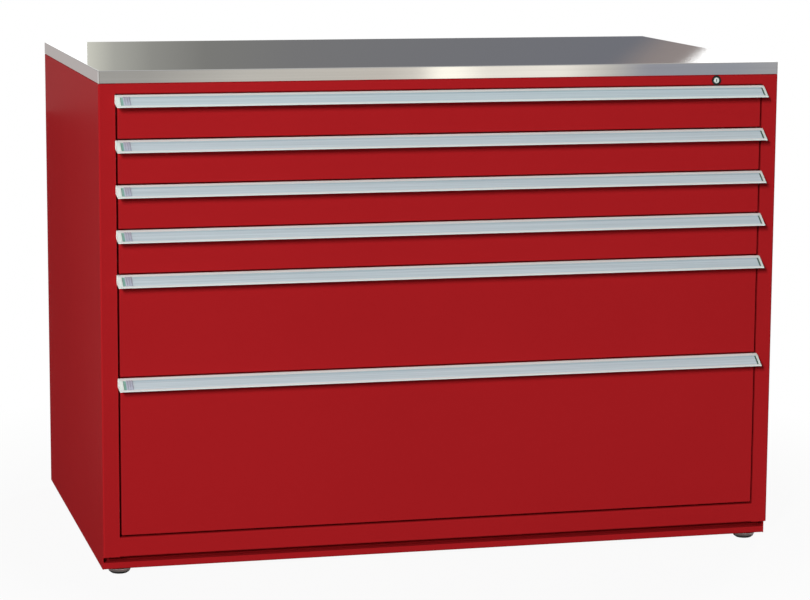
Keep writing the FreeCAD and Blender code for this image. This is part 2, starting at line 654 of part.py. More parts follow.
lock_plug = new_body("lock_plug")
plug = new_sketch(lock_plug, "front", f"{ROSETTE_FRONT} + plug_inset")
circle(plug, LOCK_X, LOCK_Z, "plug_radius")
pad(plug, f"{CAM_START} - {ROSETTE_FRONT} - plug_inset")
keyway = new_sketch(lock_plug, "front", ROSETTE_FRONT)
rectangle(keyway, f"{LOCK_X} - key_width / 2", f"{LOCK_X} + key_width / 2",
          f"{LOCK_Z} - key_height / 2", f"{LOCK_Z} + key_height / 2")
pocket(keyway, "key_depth")

# The cam's pin stands below the axis and swings from one side of it to the other. Its arm
# joins the round hub to the round tip, at 45 degrees.
PIN_X = f"({LOCK_X} - cam_throw)"
PIN_Z = f"({LOCK_Z} - cam_throw)"
lock_cam = new_body("lock_cam")
for x, z, radius in ((LOCK_X, LOCK_Z, "cam_hub_radius"), (PIN_X, PIN_Z, "cam_tip_radius")):
    end = new_sketch(lock_cam, "front", CAM_START)
    circle(end, x, z, radius)
    pad(end, "cam_gauge")
arm = new_sketch(lock_cam, "front", CAM_START)
outline(arm, [
    (f"{LOCK_X} - cam_hub_radius * sqrt(0.5)", f"{LOCK_Z} + cam_hub_radius * sqrt(0.5)"),
    (f"{PIN_X} - cam_tip_radius * sqrt(0.5)", f"{PIN_Z} + cam_tip_radius * sqrt(0.5)"),
    (f"{PIN_X} + cam_tip_radius * sqrt(0.5)", f"{PIN_Z} - cam_tip_radius * sqrt(0.5)"),
    (f"{LOCK_X} + cam_hub_radius * sqrt(0.5)", f"{LOCK_Z} - cam_hub_radius * sqrt(0.5)"),
])
pad(arm, "cam_gauge")
pin = new_sketch(lock_cam, "front", f"{CAM_START} + cam_gauge")
circle(pin, PIN_X, PIN_Z, "cam_pin_radius")
pad(pin, f"{LINK_FRONT} + bar_gauge - {CAM_START} - cam_gauge")

# The link slides sideways behind the top rail. The cam's pin drives it in an upright
# slot, and the ramp at its far end lifts the lock bar by as much as the link slides.
LINK_END = f"({SIDE} - bar_inset)"
LINK_HIGH = f"({LOCK_Z} - link_drop)"
RAMP_LOW = f"({LINK_HIGH} - ramp_rise)"
lock_link = new_body("lock_link")
link = new_sketch(lock_link, "front", LINK_FRONT)
outline(link, [
    (f"{PIN_X} - link_tail", f"{LINK_HIGH} - link_height"),
    (f"{LINK_END} - ramp_rise", f"{LINK_HIGH} - link_height"),
    (f"{LINK_END} - ramp_rise", f"{RAMP_LOW} - link_toe"),
    (LINK_END, f"{RAMP_LOW} - link_toe"),
    (LINK_END, RAMP_LOW),
    (f"{LINK_END} - ramp_rise", LINK_HIGH),
    (f"{PIN_X} - link_tail", LINK_HIGH),
])
SLOT_HALF = "(cam_pin_radius + cam_pin_play)"
rectangle(link, f"{PIN_X} - {SLOT_HALF}", f"{PIN_X} + {SLOT_HALF}",
          f"{LOCK_Z} - cam_throw * sqrt(2) - {SLOT_HALF}", f"{PIN_Z} + {SLOT_HALF}")
pad(link, "bar_gauge")

# The lock bar stands in the front right upright. Its pin rests on the link's ramp, and
# its tongues rise in front of a lug on each drawer.
FOLLOWER_Z = f"({RAMP_LOW} + (follower_radius + follower_play) * sqrt(2))"
lock_bar = new_body("lock_bar")
comb = new_sketch(lock_bar, "front", BAR_FRONT)
BAR_LEFT = f"({LINK_END} - bar_left)"
BAR_RIGHT = f"({LINK_END} + bar_right)"
corners = [(BAR_RIGHT, f"{OPENING_LOW} + tongue_low"), (BAR_RIGHT, f"{FOLLOWER_Z} + bar_head"),
           (BAR_LEFT, f"{FOLLOWER_Z} + bar_head")]
line = OPENING_HIGH
for pitch, _ in DRAWERS:
    line = f"{line} - {pitch}"
    tongue_high = f"{line} + tongue_low + tongue_height"
    corners += [
        (BAR_LEFT, tongue_high),
        (f"{BAR_LEFT} - tongue_reach", tongue_high),
        (f"{BAR_LEFT} - tongue_reach", f"{line} + tongue_low"),
        (BAR_LEFT, f"{line} + tongue_low"),
    ]
outline(comb, corners[:-1])
pad(comb, "tongue_width")
follower = new_sketch(lock_bar, "front", f"{LINK_FRONT} - cam_pin_play")
circle(follower, LINK_END, FOLLOWER_Z, "follower_radius")
pad(follower, f"{BAR_FRONT} - {LINK_FRONT} + cam_pin_play")

# ------------------------------------------------------------------ the drawers

# The handle's section, from the drawer front outwards and downwards: an upper lip, the
# label groove on a slope, a lower lip, and a leg that is screwed to the front.
SEAT_X = "(ledge_reach - groove_depth * sin(label_angle))"
SEAT_Z = "(ledge_drop + groove_depth * cos(label_angle))"
SLOPE_X = "(label_width * cos(label_angle))"
SLOPE_Z = "(label_width * sin(label_angle))"
UNDER_Z = "(ledge_drop + (groove_depth + handle_wall) / cos(label_angle))"
GROOVE = [
    ("ledge_reach", "ledge_drop"),
    (SEAT_X, SEAT_Z),
    (f"{SEAT_X} + {SLOPE_X}", f"{SEAT_Z} + {SLOPE_Z}"),
    (f"ledge_reach + {SLOPE_X}", f"ledge_drop + {SLOPE_Z}"),
]
NOSE = [("handle_reach", "handle_drop - nose_height"), ("handle_reach", "handle_drop")]
NOSE_BACK = ("handle_reach - nose_flat", "handle_drop")
HANDLE_SECTION = [("0", "0"), ("ledge_flat", "0")] + GROOVE + NOSE + [
    NOSE_BACK,
    (f"ledge_reach + {SLOPE_X} - nose_back", "handle_drop - nose_rise"),
    ("handle_wall", f"{UNDER_Z} + (handle_wall - ledge_reach) * tan(label_angle)"),
    ("handle_wall", "handle_leg"),
    ("0", "handle_leg"),
]
CAP_SECTION = [("0", "0"), ("ledge_flat", "0"), GROOVE[0], GROOVE[3]] + NOSE + [
    NOSE_BACK, ("0", "handle_leg - cap_overhang")]


def from_face(section, top):
    """A section measured out from the drawer front and down from its top edge."""
    return [(f"{FACE} - ({out})", f"{top} - ({down})") for out, down in section]


def on_slope(gauge):
    """The section of a strip of that gauge on the seat of the label groove."""
    low_x, low_z = GROOVE[1]
    high_x, high_z = GROOVE[2]
    rise_x = f"{gauge} * sin(label_angle)"
    rise_z = f"{gauge} * cos(label_angle)"
    play_x = "label_play * cos(label_angle)"
    play_z = "label_play * sin(label_angle)"
    return [
        (f"{low_x} + {play_x}", f"{low_z} + {play_z}"),
        (f"{high_x} - {play_x}", f"{high_z} - {play_z}"),
        (f"{high_x} - {play_x} + {rise_x}", f"{high_z} - {play_z} - {rise_z}"),
        (f"{low_x} + {play_x} + {rise_x}", f"{low_z} + {play_z} - {rise_z}"),
    ]


ROLLER_SIDES = 16
CAP_END = f"({OPENING_SIDE} + cap_overhang)"
HANDLE_END = f"({CAP_END} - cap_width)"
line = OPENING_HIGH
for place, (pitch, wall) in enumerate(DRAWERS, start=1):
    line = f"{line} - {pitch}"
    top = f"{pitch} - front_gap / 2"

    # The front is a pan with folded edges all round, open to the back.
    front = new_body(f"front_{place}", line)
    face = new_sketch(front, "front", FACE)
    half = f"({OPENING_SIDE} - front_side_gap)"
    low = "bottom_gap" if place == len(DRAWERS) else "front_gap / 2"
    rectangle(face, f"-{half}", half, low, top)
    pad(face, "front_depth")
    round_edges(front, "front_gauge", "side", [(FACE, low), (FACE, top)])
    bevel_edges(front, "front_gauge / 2", "top", [(f"-{half}", FACE), (half, FACE)])
    back = new_sketch(front, "front", f"{FACE} + front_gauge")
    rectangle(back, f"-({half} - front_gauge)", f"{half} - front_gauge",
              f"{low} + front_gauge", f"{top} - front_gauge")
    pocket(back, "front_depth")

    # The tray is open at the top, with rolled rims. Its rails are channels on its sides,
    # and a lug on the right is what the lock bar catches.
    tray = new_body(f"tray_{place}", line)
    plan = new_sketch(tray, "top", "tray_lift")
    rectangle(plan, f"-{TRAY_SIDE}", TRAY_SIDE, TRAY_FRONT, f"{TRAY_FRONT} + {TRAY_DEPTH}")
    pad(plan, wall)
    inside = new_sketch(tray, "top", "tray_lift + tray_gauge")
    rectangle(inside, "-tray_inside_width / 2", "tray_inside_width / 2",
              f"{TRAY_FRONT} + tray_gauge", f"{TRAY_FRONT} + {TRAY_DEPTH} - tray_gauge")
    pocket(inside, wall)
    section = new_sketch(tray, "front", TRAY_FRONT)
    for sign in (-1, 1):
        wall_x = f"{sign} * {TRAY_SIDE}"
        lip_x = f"{sign} * ({TRAY_SIDE} + runner_lip)"
        folded(section, "runner_gauge", [
            (lip_x, "runner_height + runner_half", 0, -1),
            (wall_x, "runner_height + runner_half", sign, -1),
            (wall_x, "runner_height - runner_half", sign, 1),
            (lip_x, "runner_height - runner_half", 0, 1),
        ])
        rim_x = f"{sign} * ({TRAY_SIDE} + rim_width)"
        folded(section, "tray_gauge", [
            (wall_x, f"tray_lift + {wall}", 0, -1),
            (rim_x, f"tray_lift + {wall}", -sign, -1),
            (rim_x, f"tray_lift + {wall} - rim_width", -sign, 0),
        ])
    pad(section, TRAY_DEPTH)
    lug = new_sketch(tray, "front", f"{BAR_FRONT} + tongue_width + lug_gap")
    rectangle(lug, TRAY_SIDE, f"{UPRIGHT_FACE} - lug_end_gap", "lug_low",
              "lug_low + lug_height")
    pad(lug, "lug_gauge")

    handle = new_body(f"handle_{place}", line)
    section = new_sketch(handle, "side")
    outline(section, from_face(HANDLE_SECTION, top))
    pad(section, f"2 * {HANDLE_END}", middle=True)
    bevel_edges(handle, "handle_edge", "side",
                from_face(NOSE + [("ledge_flat", "0")], top))

    # A cap closes each end of the handle. The left one has a tab in the label groove that
    # carries the ribbed clip.
    caps = new_body(f"handle_caps_{place}", line)
    section = new_sketch(caps, "side", HANDLE_END)
    outline(section, from_face(CAP_SECTION, top))
    mirror([pad(section, "cap_width")])
    tab = new_sketch(caps, "side", f"-{HANDLE_END}")
    outline(tab, from_face(on_slope("tab_gauge"), top))
    pad(tab, "clip_start + clip_width")
    clip = new_sketch(caps, "side", f"-{HANDLE_END} + clip_start")
    outline(clip, from_face(on_slope("(groove_depth + clip_rise)"), top))
    pad(clip, "clip_width")
    ribs_width = "((rib_count - 1) * rib_pitch + rib_width)"
    first_rib = f"clip_start + (clip_width - {ribs_width}) / 2"
    rib = new_sketch(caps, "side", f"-{HANDLE_END} + {first_rib}")
    outline(rib, from_face(on_slope("(groove_depth + rib_rise)"), top))
    ribs = pad(rib, "rib_width")
    row = caps.newObject("PartDesign::LinearPattern", f"ribs_{place}")
    row.Originals = [ribs]
    row.Direction = (rib, ["N_Axis"])
    row.Mode = "Spacing"
    row.setExpression("Offset", bound("rib_pitch"))
    row.setExpression("Occurrences", bound("rib_count"))
    caps.Tip = row

    label = new_body(f"label_{place}", line)
    label_start = "(clip_start + clip_width)"
    section = new_sketch(label, "side", f"-{HANDLE_END} + {label_start}")
    outline(section, from_face(on_slope("label_gauge"), top))
    pad(section, f"2 * {HANDLE_END} - {label_start} - label_end_gap")

    # The carriage runs between the two rails. On each side of the cabinet one roller at
    # its front end carries the tray, and one at its back end runs in the housing's rail.
    carriage = new_body(f"carriage_{place}", line)
    bar_x = f"({UPRIGHT_FACE} - runner_lip - carriage_play - carriage_gauge)"
    start = f"({FRONT} + runner_inset)"
    bar = new_sketch(carriage, "side", bar_x)
    rectangle(bar, start, f"{start} + carriage_length",
              "runner_height - carriage_half", "runner_height + carriage_half")
    parts_of_side = [pad(bar, "carriage_gauge")]
    for roller_x, roller_y in (
        (f"{bar_x} - roller_width", f"{start} + roller_inset"),
        (f"{bar_x} + carriage_gauge", f"{start} + carriage_length - roller_inset"),
    ):
        roller = new_sketch(carriage, "side", roller_x)
        many_sided(roller, roller_y, "runner_height", "roller_radius", ROLLER_SIDES)
        parts_of_side.append(pad(roller, "roller_width"))
    mirror(parts_of_side)

# ------------------------------------------------------------- check and export

doc.recompute()
failed = [item.Label for item in doc.Objects if {"Invalid", "Error"} & set(item.State)]
if failed:
    raise RuntimeError(f"these objects did not build: {failed}")
for body in bodies:
    shape = body.Shape
    if shape.isNull() or not shape.isValid() or not shape.Solids:
        raise RuntimeError(f"{body.Label} has no valid solid")
for body in bodies:
    body.Shape.exportStep(f"parts/{body.Label}.step")
    box = body.Shape.BoundBox
    print(f"{body.Label}: {len(body.Shape.Solids)} solid(s), "
          f"{box.XLength:.1f} x {box.YLength:.1f} x {box.ZLength:.1f} mm")
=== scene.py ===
import math

import bmesh
import bpy
from mathutils import Matrix, Vector


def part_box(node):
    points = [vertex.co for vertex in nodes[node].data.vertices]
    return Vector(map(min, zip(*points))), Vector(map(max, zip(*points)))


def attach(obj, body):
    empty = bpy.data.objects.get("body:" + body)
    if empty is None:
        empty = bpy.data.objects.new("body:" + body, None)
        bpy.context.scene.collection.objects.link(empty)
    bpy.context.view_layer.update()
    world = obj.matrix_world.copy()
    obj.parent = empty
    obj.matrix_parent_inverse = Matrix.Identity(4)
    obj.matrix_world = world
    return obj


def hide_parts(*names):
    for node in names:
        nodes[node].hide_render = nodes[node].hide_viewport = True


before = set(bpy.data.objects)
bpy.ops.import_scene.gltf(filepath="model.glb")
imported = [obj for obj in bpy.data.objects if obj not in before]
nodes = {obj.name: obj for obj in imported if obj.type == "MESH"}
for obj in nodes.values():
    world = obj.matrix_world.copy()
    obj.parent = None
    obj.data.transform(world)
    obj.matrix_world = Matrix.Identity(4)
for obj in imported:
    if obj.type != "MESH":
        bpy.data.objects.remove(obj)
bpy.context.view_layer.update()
bpy.ops.object.select_all(action="DESELECT")


# ---- Housing
# The carcass is folded from 1.5 mm sheet steel: side panels, rails, base strip, back, top
# and floor. It is spot-welded, then powder-coated deep red all over in one batch, so
# every outer face has the same satin skin with a fine orange-peel texture.

def add_node(material, kind, **settings):
    """A shader node with its sockets set by name, an underscore standing for a space."""
    made = material.node_tree.nodes.new("ShaderNode" + kind)
    for socket, value in settings.items():
        made.inputs[socket.replace("_", " ")].default_value = value
    return made


def wire(material, start, end):
    material.node_tree.links.new(start, end)


def new_finish(name, colour, metallic, roughness):
    """A finish with its even values on the shader, ready for its texture."""
    material = bpy.data.materials.new(name)
    material.use_nodes = True
    shader = material.node_tree.nodes["Principled BSDF"]
    shader.inputs["Base Color"].default_value = (*colour, 1)
    shader.inputs["Metallic"].default_value = metallic
    shader.inputs["Roughness"].default_value = roughness
    return material, shader


def two_shades(material, dark, light, low=0.3, high=0.7):
    """A ramp that turns the levels of a pattern, from low to high, into shades."""
    shades = add_node(material, "ValToRGB")
    first, last = shades.color_ramp.elements
    first.position, first.color = low, (*dark, 1)
    last.position, last.color = high, (*light, 1)
    return shades


def drifting_colour(material, shader, light, dark, scale):
    """The colour drifts slowly between two shades of itself over the piece."""
    place = add_node(material, "TexCoord")
    cloud = add_node(material, "TexNoise", Scale=scale, Detail=3.0, Roughness=0.6)
    shades = two_shades(material, dark, light)
    wire(material, place.outputs["Object"], cloud.inputs["Vector"])
    wire(material, cloud.outputs["Fac"], shades.inputs["Fac"])
    wire(material, shades.outputs["Color"], shader.inputs["Base Color"])


def fine_bump(material, shader, scale, strength, depth, stretch=(1, 1, 1)):
    """A grain in the surface, which may be drawn out along an axis."""
    place = add_node(material, "TexCoord")
    drawn = add_node(material, "Mapping", Scale=stretch)
    grain = add_node(material, "TexNoise", Scale=scale, Detail=2.0, Roughness=0.5)
    bump = add_node(material, "Bump", Strength=strength, Distance=depth)
    wire(material, place.outputs["Object"], drawn.inputs["Vector"])
    wire(material, drawn.outputs["Vector"], grain.inputs["Vector"])
    wire(material, grain.outputs["Fac"], bump.inputs["Height"])
    wire(material, bump.outputs["Normal"], shader.inputs["Normal"])


def finish_nodes(material, *names):
    """Dresses nodes of the frame in a finish and leaves their shapes alone."""
    for name in names:
        mesh = nodes[name].data
        mesh.materials.clear()
        mesh.materials.append(material)


RED = (0.335, 0.0105, 0.0132)
RED_DARK = (0.322, 0.0098, 0.0124)
red_paint, shader = new_finish("red_powder_coat", RED, 0, 0.42)
shader.inputs["Specular IOR Level"].default_value = 0.012
drifting_colour(red_paint, shader, RED, RED_DARK, 2.2)
fine_bump(red_paint, shader, 420, 0.12, 0.0002)
finish_nodes(red_paint, "side_panel_left", "side_panel_right", "back_panel", "top_panel",
             "floor_panel", "top_rail", "bottom_rail", "base_strip")

# ---- Worktop
# A stainless sheet folded round a particle board, with open seams down its four corners.
# Its top is brushed along the length, and the board shows only underneath.

steel, shader = new_finish("brushed_stainless", (0.78, 0.775, 0.76), 1, 0.04)
shader.inputs["Anisotropic"].default_value = 0.3
across = add_node(steel, "Tangent")
across.direction_type = "RADIAL"
across.axis = "X"
wire(steel, across.outputs["Tangent"], shader.inputs["Tangent"])
place = add_node(steel, "TexCoord")
brushing = add_node(steel, "Mapping", Scale=(0.5, 90, 60))
grain = add_node(steel, "TexNoise", Scale=3.0, Detail=4.0, Roughness=0.6)
lines = two_shades(steel, (0.75, 0.745, 0.73), (0.81, 0.805, 0.79))
wire(steel, place.outputs["Object"], brushing.inputs["Vector"])
wire(steel, brushing.outputs["Vector"], grain.inputs["Vector"])
wire(steel, grain.outputs["Fac"], lines.inputs["Fac"])
wire(steel, lines.outputs["Color"], shader.inputs["Base Color"])
fine_bump(steel, shader, 90, 0.025, 0.0002, (0.6, 40, 40))
finish_nodes(steel, "worktop_skin")

board, shader = new_finish("particle_board", (0.42, 0.29, 0.17), 0, 0.85)
drifting_colour(board, shader, (0.48, 0.34, 0.21), (0.3, 0.2, 0.11), 160)
fine_bump(board, shader, 300, 0.3, 0.0005)
finish_nodes(board, "worktop_core")

# ---- Drawer fronts
# Each front is a shallow pan of sheet steel with its edges folded back. It is fixed to its
# tray from behind and painted with the housing.

DRAWERS = range(1, 7)
for place in DRAWERS:
    finish_nodes(red_paint, f"front_{place}")

# ---- Handles
# A handle is one aluminium extrusion over the full width, matt anodised, with a label
# groove on its slope and a leg that is screwed to the front. A strip of blank card under a
# clear cover slides into the groove from the right.

aluminium, shader = new_finish("matt_anodised", (0.75, 0.81, 0.79), 0.15, 0.45)
fine_bump(aluminium, shader, 60, 0.08, 0.0001, (0.5, 40, 40))
label_cover, shader = new_finish("clear_label_cover", (0.53, 0.63, 0.67), 0, 0.3)
shader.inputs["Specular IOR Level"].default_value = 0.1
place = add_node(label_cover, "TexCoord")
drawn = add_node(label_cover, "Mapping", Scale=(0.8, 120, 160))
streak = add_node(label_cover, "TexNoise", Scale=3.0, Detail=3.0, Roughness=0.6)
shades = two_shades(label_cover, (0.435, 0.53, 0.57), (0.545, 0.64, 0.68), 0.35, 0.65)
wire(label_cover, place.outputs["Object"], drawn.inputs["Vector"])
wire(label_cover, drawn.outputs["Vector"], streak.inputs["Vector"])
wire(label_cover, streak.outputs["Fac"], shades.inputs["Fac"])

# The strip is a little paler along its lower edge, and a painted shade darkens its upper
# edge, where the groove's lip overhangs it
label_low, label_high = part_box("label_1")
split = add_node(label_cover, "SeparateXYZ")
climb = add_node(label_cover, "MapRange", From_Min=label_low[1], From_Max=label_high[1])
painted_lip_shade = two_shades(label_cover, (1.04, 1.04, 1.04), (0.76, 0.83, 0.86), 0, 0.9)
for where in (0.3, 0.72):
    painted_lip_shade.color_ramp.elements.new(where).color = (1, 1, 1, 1)
# The colour mix's own sockets come after those for numbers and vectors
FACTOR, FIRST_COLOUR, SECOND_COLOUR, MIXED_COLOUR = 0, 6, 7, 2
# The streaks are multiplied by the paler lower edge and the painted lip shade
streaks_and_lip_shade = add_node(label_cover, "Mix")
streaks_and_lip_shade.data_type = "RGBA"
streaks_and_lip_shade.blend_type = "MULTIPLY"
streaks_and_lip_shade.inputs[FACTOR].default_value = 1
wire(label_cover, place.outputs["Object"], split.inputs["Vector"])
wire(label_cover, split.outputs["Y"], climb.inputs["Value"])
wire(label_cover, climb.outputs["Result"], painted_lip_shade.inputs["Fac"])
wire(label_cover, shades.outputs["Color"], streaks_and_lip_shade.inputs[FIRST_COLOUR])
wire(label_cover, painted_lip_shade.outputs["Color"], streaks_and_lip_shade.inputs[SECOND_COLOUR])
wire(label_cover, streaks_and_lip_shade.outputs[MIXED_COLOUR], shader.inputs["Base Color"])
for place in DRAWERS:
    finish_nodes(aluminium, f"handle_{place}")
    finish_nodes(label_cover, f"label_{place}")

# ---- Handle ends
# Each end of a handle is closed by a moulded cap of pale plastic, pressed on, with its
# edges eased and its outer face sunk a little. The left cap has a tongue in the label
# groove, then comes a green tab with the grey ribbed clip that holds the label strip.

# A face looks along a direction when its normal has this much of it, and places nearer
# than CLOSE, in metres, are taken as one
FACING, CLOSE = 0.9, 0.0001


def open_mesh(piece):
    """Edit mode on one piece, with nothing selected."""
    bpy.ops.object.select_all(action="DESELECT")
    bpy.context.view_layer.objects.active = piece
    piece.select_set(True)
    bpy.ops.object.mode_set(mode="EDIT")
    bpy.ops.mesh.select_mode(type="FACE")
    bpy.ops.mesh.select_all(action="DESELECT")


def close_mesh():
    bpy.ops.object.mode_set(mode="OBJECT")


def pick_faces(piece, wanted):
    """Selects the faces whose centre and normal pass the test, and no others."""
    bpy.ops.mesh.select_all(action="DESELECT")
    mesh = bmesh.from_edit_mesh(piece.data)
    for face in mesh.faces:
        if wanted(face.calc_center_median(), face.normal):
            face.select_set(True)
    bmesh.update_edit_mesh(piece.data)


def pick_edges(piece, wanted):
    """Selects the edges whose two ends pass the test, and no others."""
    bpy.ops.mesh.select_all(action="DESELECT")
    mesh = bmesh.from_edit_mesh(piece.data)
    for edge in mesh.edges:
        if wanted(edge.verts[0].co, edge.verts[1].co):
            edge.select_set(True)
    bmesh.update_edit_mesh(piece.data)


def turn_faces_out():
    """All faces of the open mesh made to point outwards."""
    bpy.ops.mesh.select_all(action="SELECT")
    bpy.ops.mesh.normals_make_consistent(inside=False)


def ease_edges(piece, radius):
    """Every edge of a piece rounded a little."""
    open_mesh(piece)
    bpy.ops.mesh.select_all(action="SELECT")
    bpy.ops.mesh.bevel(offset=radius, segments=2, affect="EDGES")
    close_mesh()


def smooth_by_angle(piece, degrees=35):
    bpy.ops.object.select_all(action="DESELECT")
    bpy.context.view_layer.objects.active = piece
    piece.select_set(True)
    bpy.ops.object.shade_smooth_by_angle(angle=math.radians(degrees))


def add_block(name, centre, size, turn=0.0):
    """A block at its size and place, turned about X."""
    bpy.ops.mesh.primitive_cube_add(size=1, location=centre, rotation=(turn, 0, 0),
                                    scale=size)
    piece = bpy.context.object
    piece.name = name
    bpy.ops.object.transform_apply(location=True, rotation=True, scale=True)
    return piece


def plate_from_outline(name, corners, start, thickness):
    """A plate across X from its outline in Y and Z: a disc of as many corners, drawn out."""
    bpy.ops.mesh.primitive_circle_add(vertices=len(corners), fill_type="NGON")
    piece = bpy.context.object
    piece.name = name
    for vertex, (y, z) in zip(piece.data.vertices, corners):
        vertex.co = (start, y, z)
    open_mesh(piece)
    bpy.ops.mesh.select_all(action="SELECT")
    bpy.ops.mesh.extrude_region_move(TRANSFORM_OT_translate={"value": (thickness, 0, 0)})
    turn_faces_out()
    close_mesh()
    return piece


def moved_copy(piece, name, x=0.0, y=0.0, z=0.0):
    """The same piece in another place, with its own mesh."""
    twin = piece.copy()
    twin.data = piece.data.copy()
    twin.name = name
    bpy.context.collection.objects.link(twin)
    for vertex in twin.data.vertices:
        vertex.co.x += x
        vertex.co.y += y
        vertex.co.z += z
    return twin


def mirrored_copy(piece, name):
    """The same piece on the other side of the middle, with its own mesh."""
    twin = moved_copy(piece, name)
    for vertex in twin.data.vertices:
        vertex.co.x = -vertex.co.x
    open_mesh(twin)
    turn_faces_out()
    close_mesh()
    return twin


def dress(piece, material, body):
    piece.data.materials.clear()
    piece.data.materials.append(material)
    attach(piece, body)


cap_plastic, shader = new_finish("pale_cap_plastic", (0.68, 0.76, 0.72), 0, 0.38)
drifting_colour(cap_plastic, shader, (0.72, 0.80, 0.76), (0.64, 0.73, 0.69), 60)
fine_bump(cap_plastic, shader, 900, 0.1, 0.0001)
clip_plastic, shader = new_finish("grey_clip_plastic", (0.38, 0.41, 0.49), 0, 0.4)
drifting_colour(clip_plastic, shader, (0.42, 0.45, 0.53), (0.35, 0.38, 0.46), 90)
fine_bump(clip_plastic, shader, 900, 0.1, 0.0001)
# Green plastic darkened almost to black, a painted shade for the label's slot at the right
# end
slot_shade_plastic, shader = new_finish("dark_green_slot_shade", (0.03, 0.085, 0.06), 0, 0.4)
drifting_colour(slot_shade_plastic, shader, (0.04, 0.1, 0.07), (0.02, 0.07, 0.05), 90)
fine_bump(slot_shade_plastic, shader, 900, 0.1, 0.0001)
tab_plastic, shader = new_finish("pale_green_plastic", (0.2, 0.4, 0.33), 0, 0.4)
drifting_colour(tab_plastic, shader, (0.24, 0.45, 0.38), (0.16, 0.35, 0.28), 90)
fine_bump(tab_plastic, shader, 900, 0.1, 0.0001)

# The cap's outline in millimetres, out from the drawer front and down from the handle's top
CAP_OUTLINE = ((0, 0), (1.5, 0), (6.5, 2.8), (23.6, 15.6), (27, 17.6), (27, 19), (24.2, 19),
               (0, 15))
CAP_THICKNESS, CAP_RIM, CAP_SINK, CAP_EASE = 0.004, 0.0014, 0.0006, 0.00045
GROOVE_SLOPE = math.radians(36.87)
# Middle of the groove's seat, out and down
SEAT = (0.01416, 0.01042)
SEAT_LENGTH = 0.0204
COLLAR, COLLAR_GAUGE, COLLAR_EASE = 0.0034, 0.0021, 0.0003
TAB_GAUGE, TAB_UNDER_CLIP, TAB_PLAY, TAB_EASE = 0.0006, 0.001, 0.0002, 0.00012
CLIP_START, CLIP_WIDTH, CLIP_GAUGE, CLIP_EASE = 0.008, 0.012, 0.0017, 0.00015
RIB_WIDTH, RIB_PITCH, RIB_GAUGE, RIBS = 0.002, 0.004, 0.0023, 3

FACE_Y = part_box("front_1")[0][1]
(HANDLE_LEFT, _, _), (HANDLE_RIGHT, _, TOP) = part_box("handle_1")


def on_seat(height):
    """A point over the middle of the groove's seat, as y and z."""
    return (FACE_Y - SEAT[0] - height * math.sin(GROOVE_SLOPE),
            TOP - SEAT[1] + height * math.cos(GROOVE_SLOPE))


CAP_FACE = HANDLE_LEFT - CAP_THICKNESS
left_cap = plate_from_outline(
    "end_cap_left_1", [(FACE_Y - out / 1000, TOP - down / 1000) for out, down in CAP_OUTLINE],
    CAP_FACE, CAP_THICKNESS)
open_mesh(left_cap)
pick_faces(left_cap, lambda centre, normal: normal.x < -FACING)
bpy.ops.mesh.inset(thickness=CAP_RIM)
bpy.ops.mesh.extrude_region_move(TRANSFORM_OT_translate={"value": (CAP_SINK, 0, 0)})
pick_edges(left_cap, lambda a, b: max(a.x, b.x) < CAP_FACE + CLOSE)
bpy.ops.mesh.bevel(offset=CAP_EASE, segments=3, affect="EDGES")
close_mesh()
smooth_by_angle(left_cap)

collar_y, collar_z = on_seat(COLLAR_GAUGE / 2)
tongue = add_block("end_cap_tongue", (HANDLE_LEFT + COLLAR / 2, collar_y, collar_z),
                   (COLLAR, SEAT_LENGTH, COLLAR_GAUGE), GROOVE_SLOPE)
ease_edges(tongue, COLLAR_EASE)

tab_y, tab_z = on_seat(TAB_GAUGE / 2)
tab_length = CLIP_START + TAB_UNDER_CLIP
left_tab = add_block("label_tab_left_1", (HANDLE_LEFT + tab_length / 2, tab_y, tab_z),
                     (tab_length, SEAT_LENGTH, TAB_GAUGE), GROOVE_SLOPE)
ease_edges(left_tab, TAB_EASE)
# At the right end a thin dark green piece fills the label's slot: green plastic, darkened as
# a painted shade of the deep slot
slot_width = HANDLE_RIGHT - label_high[0]
slot_shade_piece = add_block("label_slot_shade_right_1", (HANDLE_RIGHT - slot_width / 2, tab_y, tab_z),
                      (slot_width - TAB_PLAY, SEAT_LENGTH, TAB_GAUGE), GROOVE_SLOPE)
ease_edges(slot_shade_piece, TAB_EASE)

clip_y, clip_z = on_seat(CLIP_GAUGE / 2)
clip_left = HANDLE_LEFT + CLIP_START
clip = add_block("label_clip_1", (clip_left + CLIP_WIDTH / 2, clip_y, clip_z),
                 (CLIP_WIDTH, SEAT_LENGTH, CLIP_GAUGE), GROOVE_SLOPE)
open_mesh(clip)
first_rib = clip_left + (CLIP_WIDTH - (RIBS - 1) * RIB_PITCH - RIB_WIDTH) / 2
last_rib = first_rib + (RIBS - 1) * RIB_PITCH
for rib in range(RIBS):
    for side in (0, RIB_WIDTH):
        bpy.ops.mesh.select_all(action="SELECT")
        bpy.ops.mesh.bisect(plane_co=(first_rib + rib * RIB_PITCH + side, 0, 0),
                            plane_no=(1, 0, 0))
outward = Vector((0, -math.sin(GROOVE_SLOPE), math.cos(GROOVE_SLOPE)))
pick_faces(clip, lambda centre, normal: normal.dot(outward) > FACING and
           0 < (centre.x - first_rib) % RIB_PITCH < RIB_WIDTH and
           first_rib < centre.x < last_rib + RIB_WIDTH)
bpy.ops.mesh.extrude_region_move(
    TRANSFORM_OT_translate={"value": outward * (RIB_GAUGE - CLIP_GAUGE)})
bpy.ops.mesh.select_all(action="SELECT")
bpy.ops.mesh.bevel(offset=CLIP_EASE, segments=2, affect="EDGES", clamp_overlap=True)
close_mesh()
smooth_by_angle(clip)

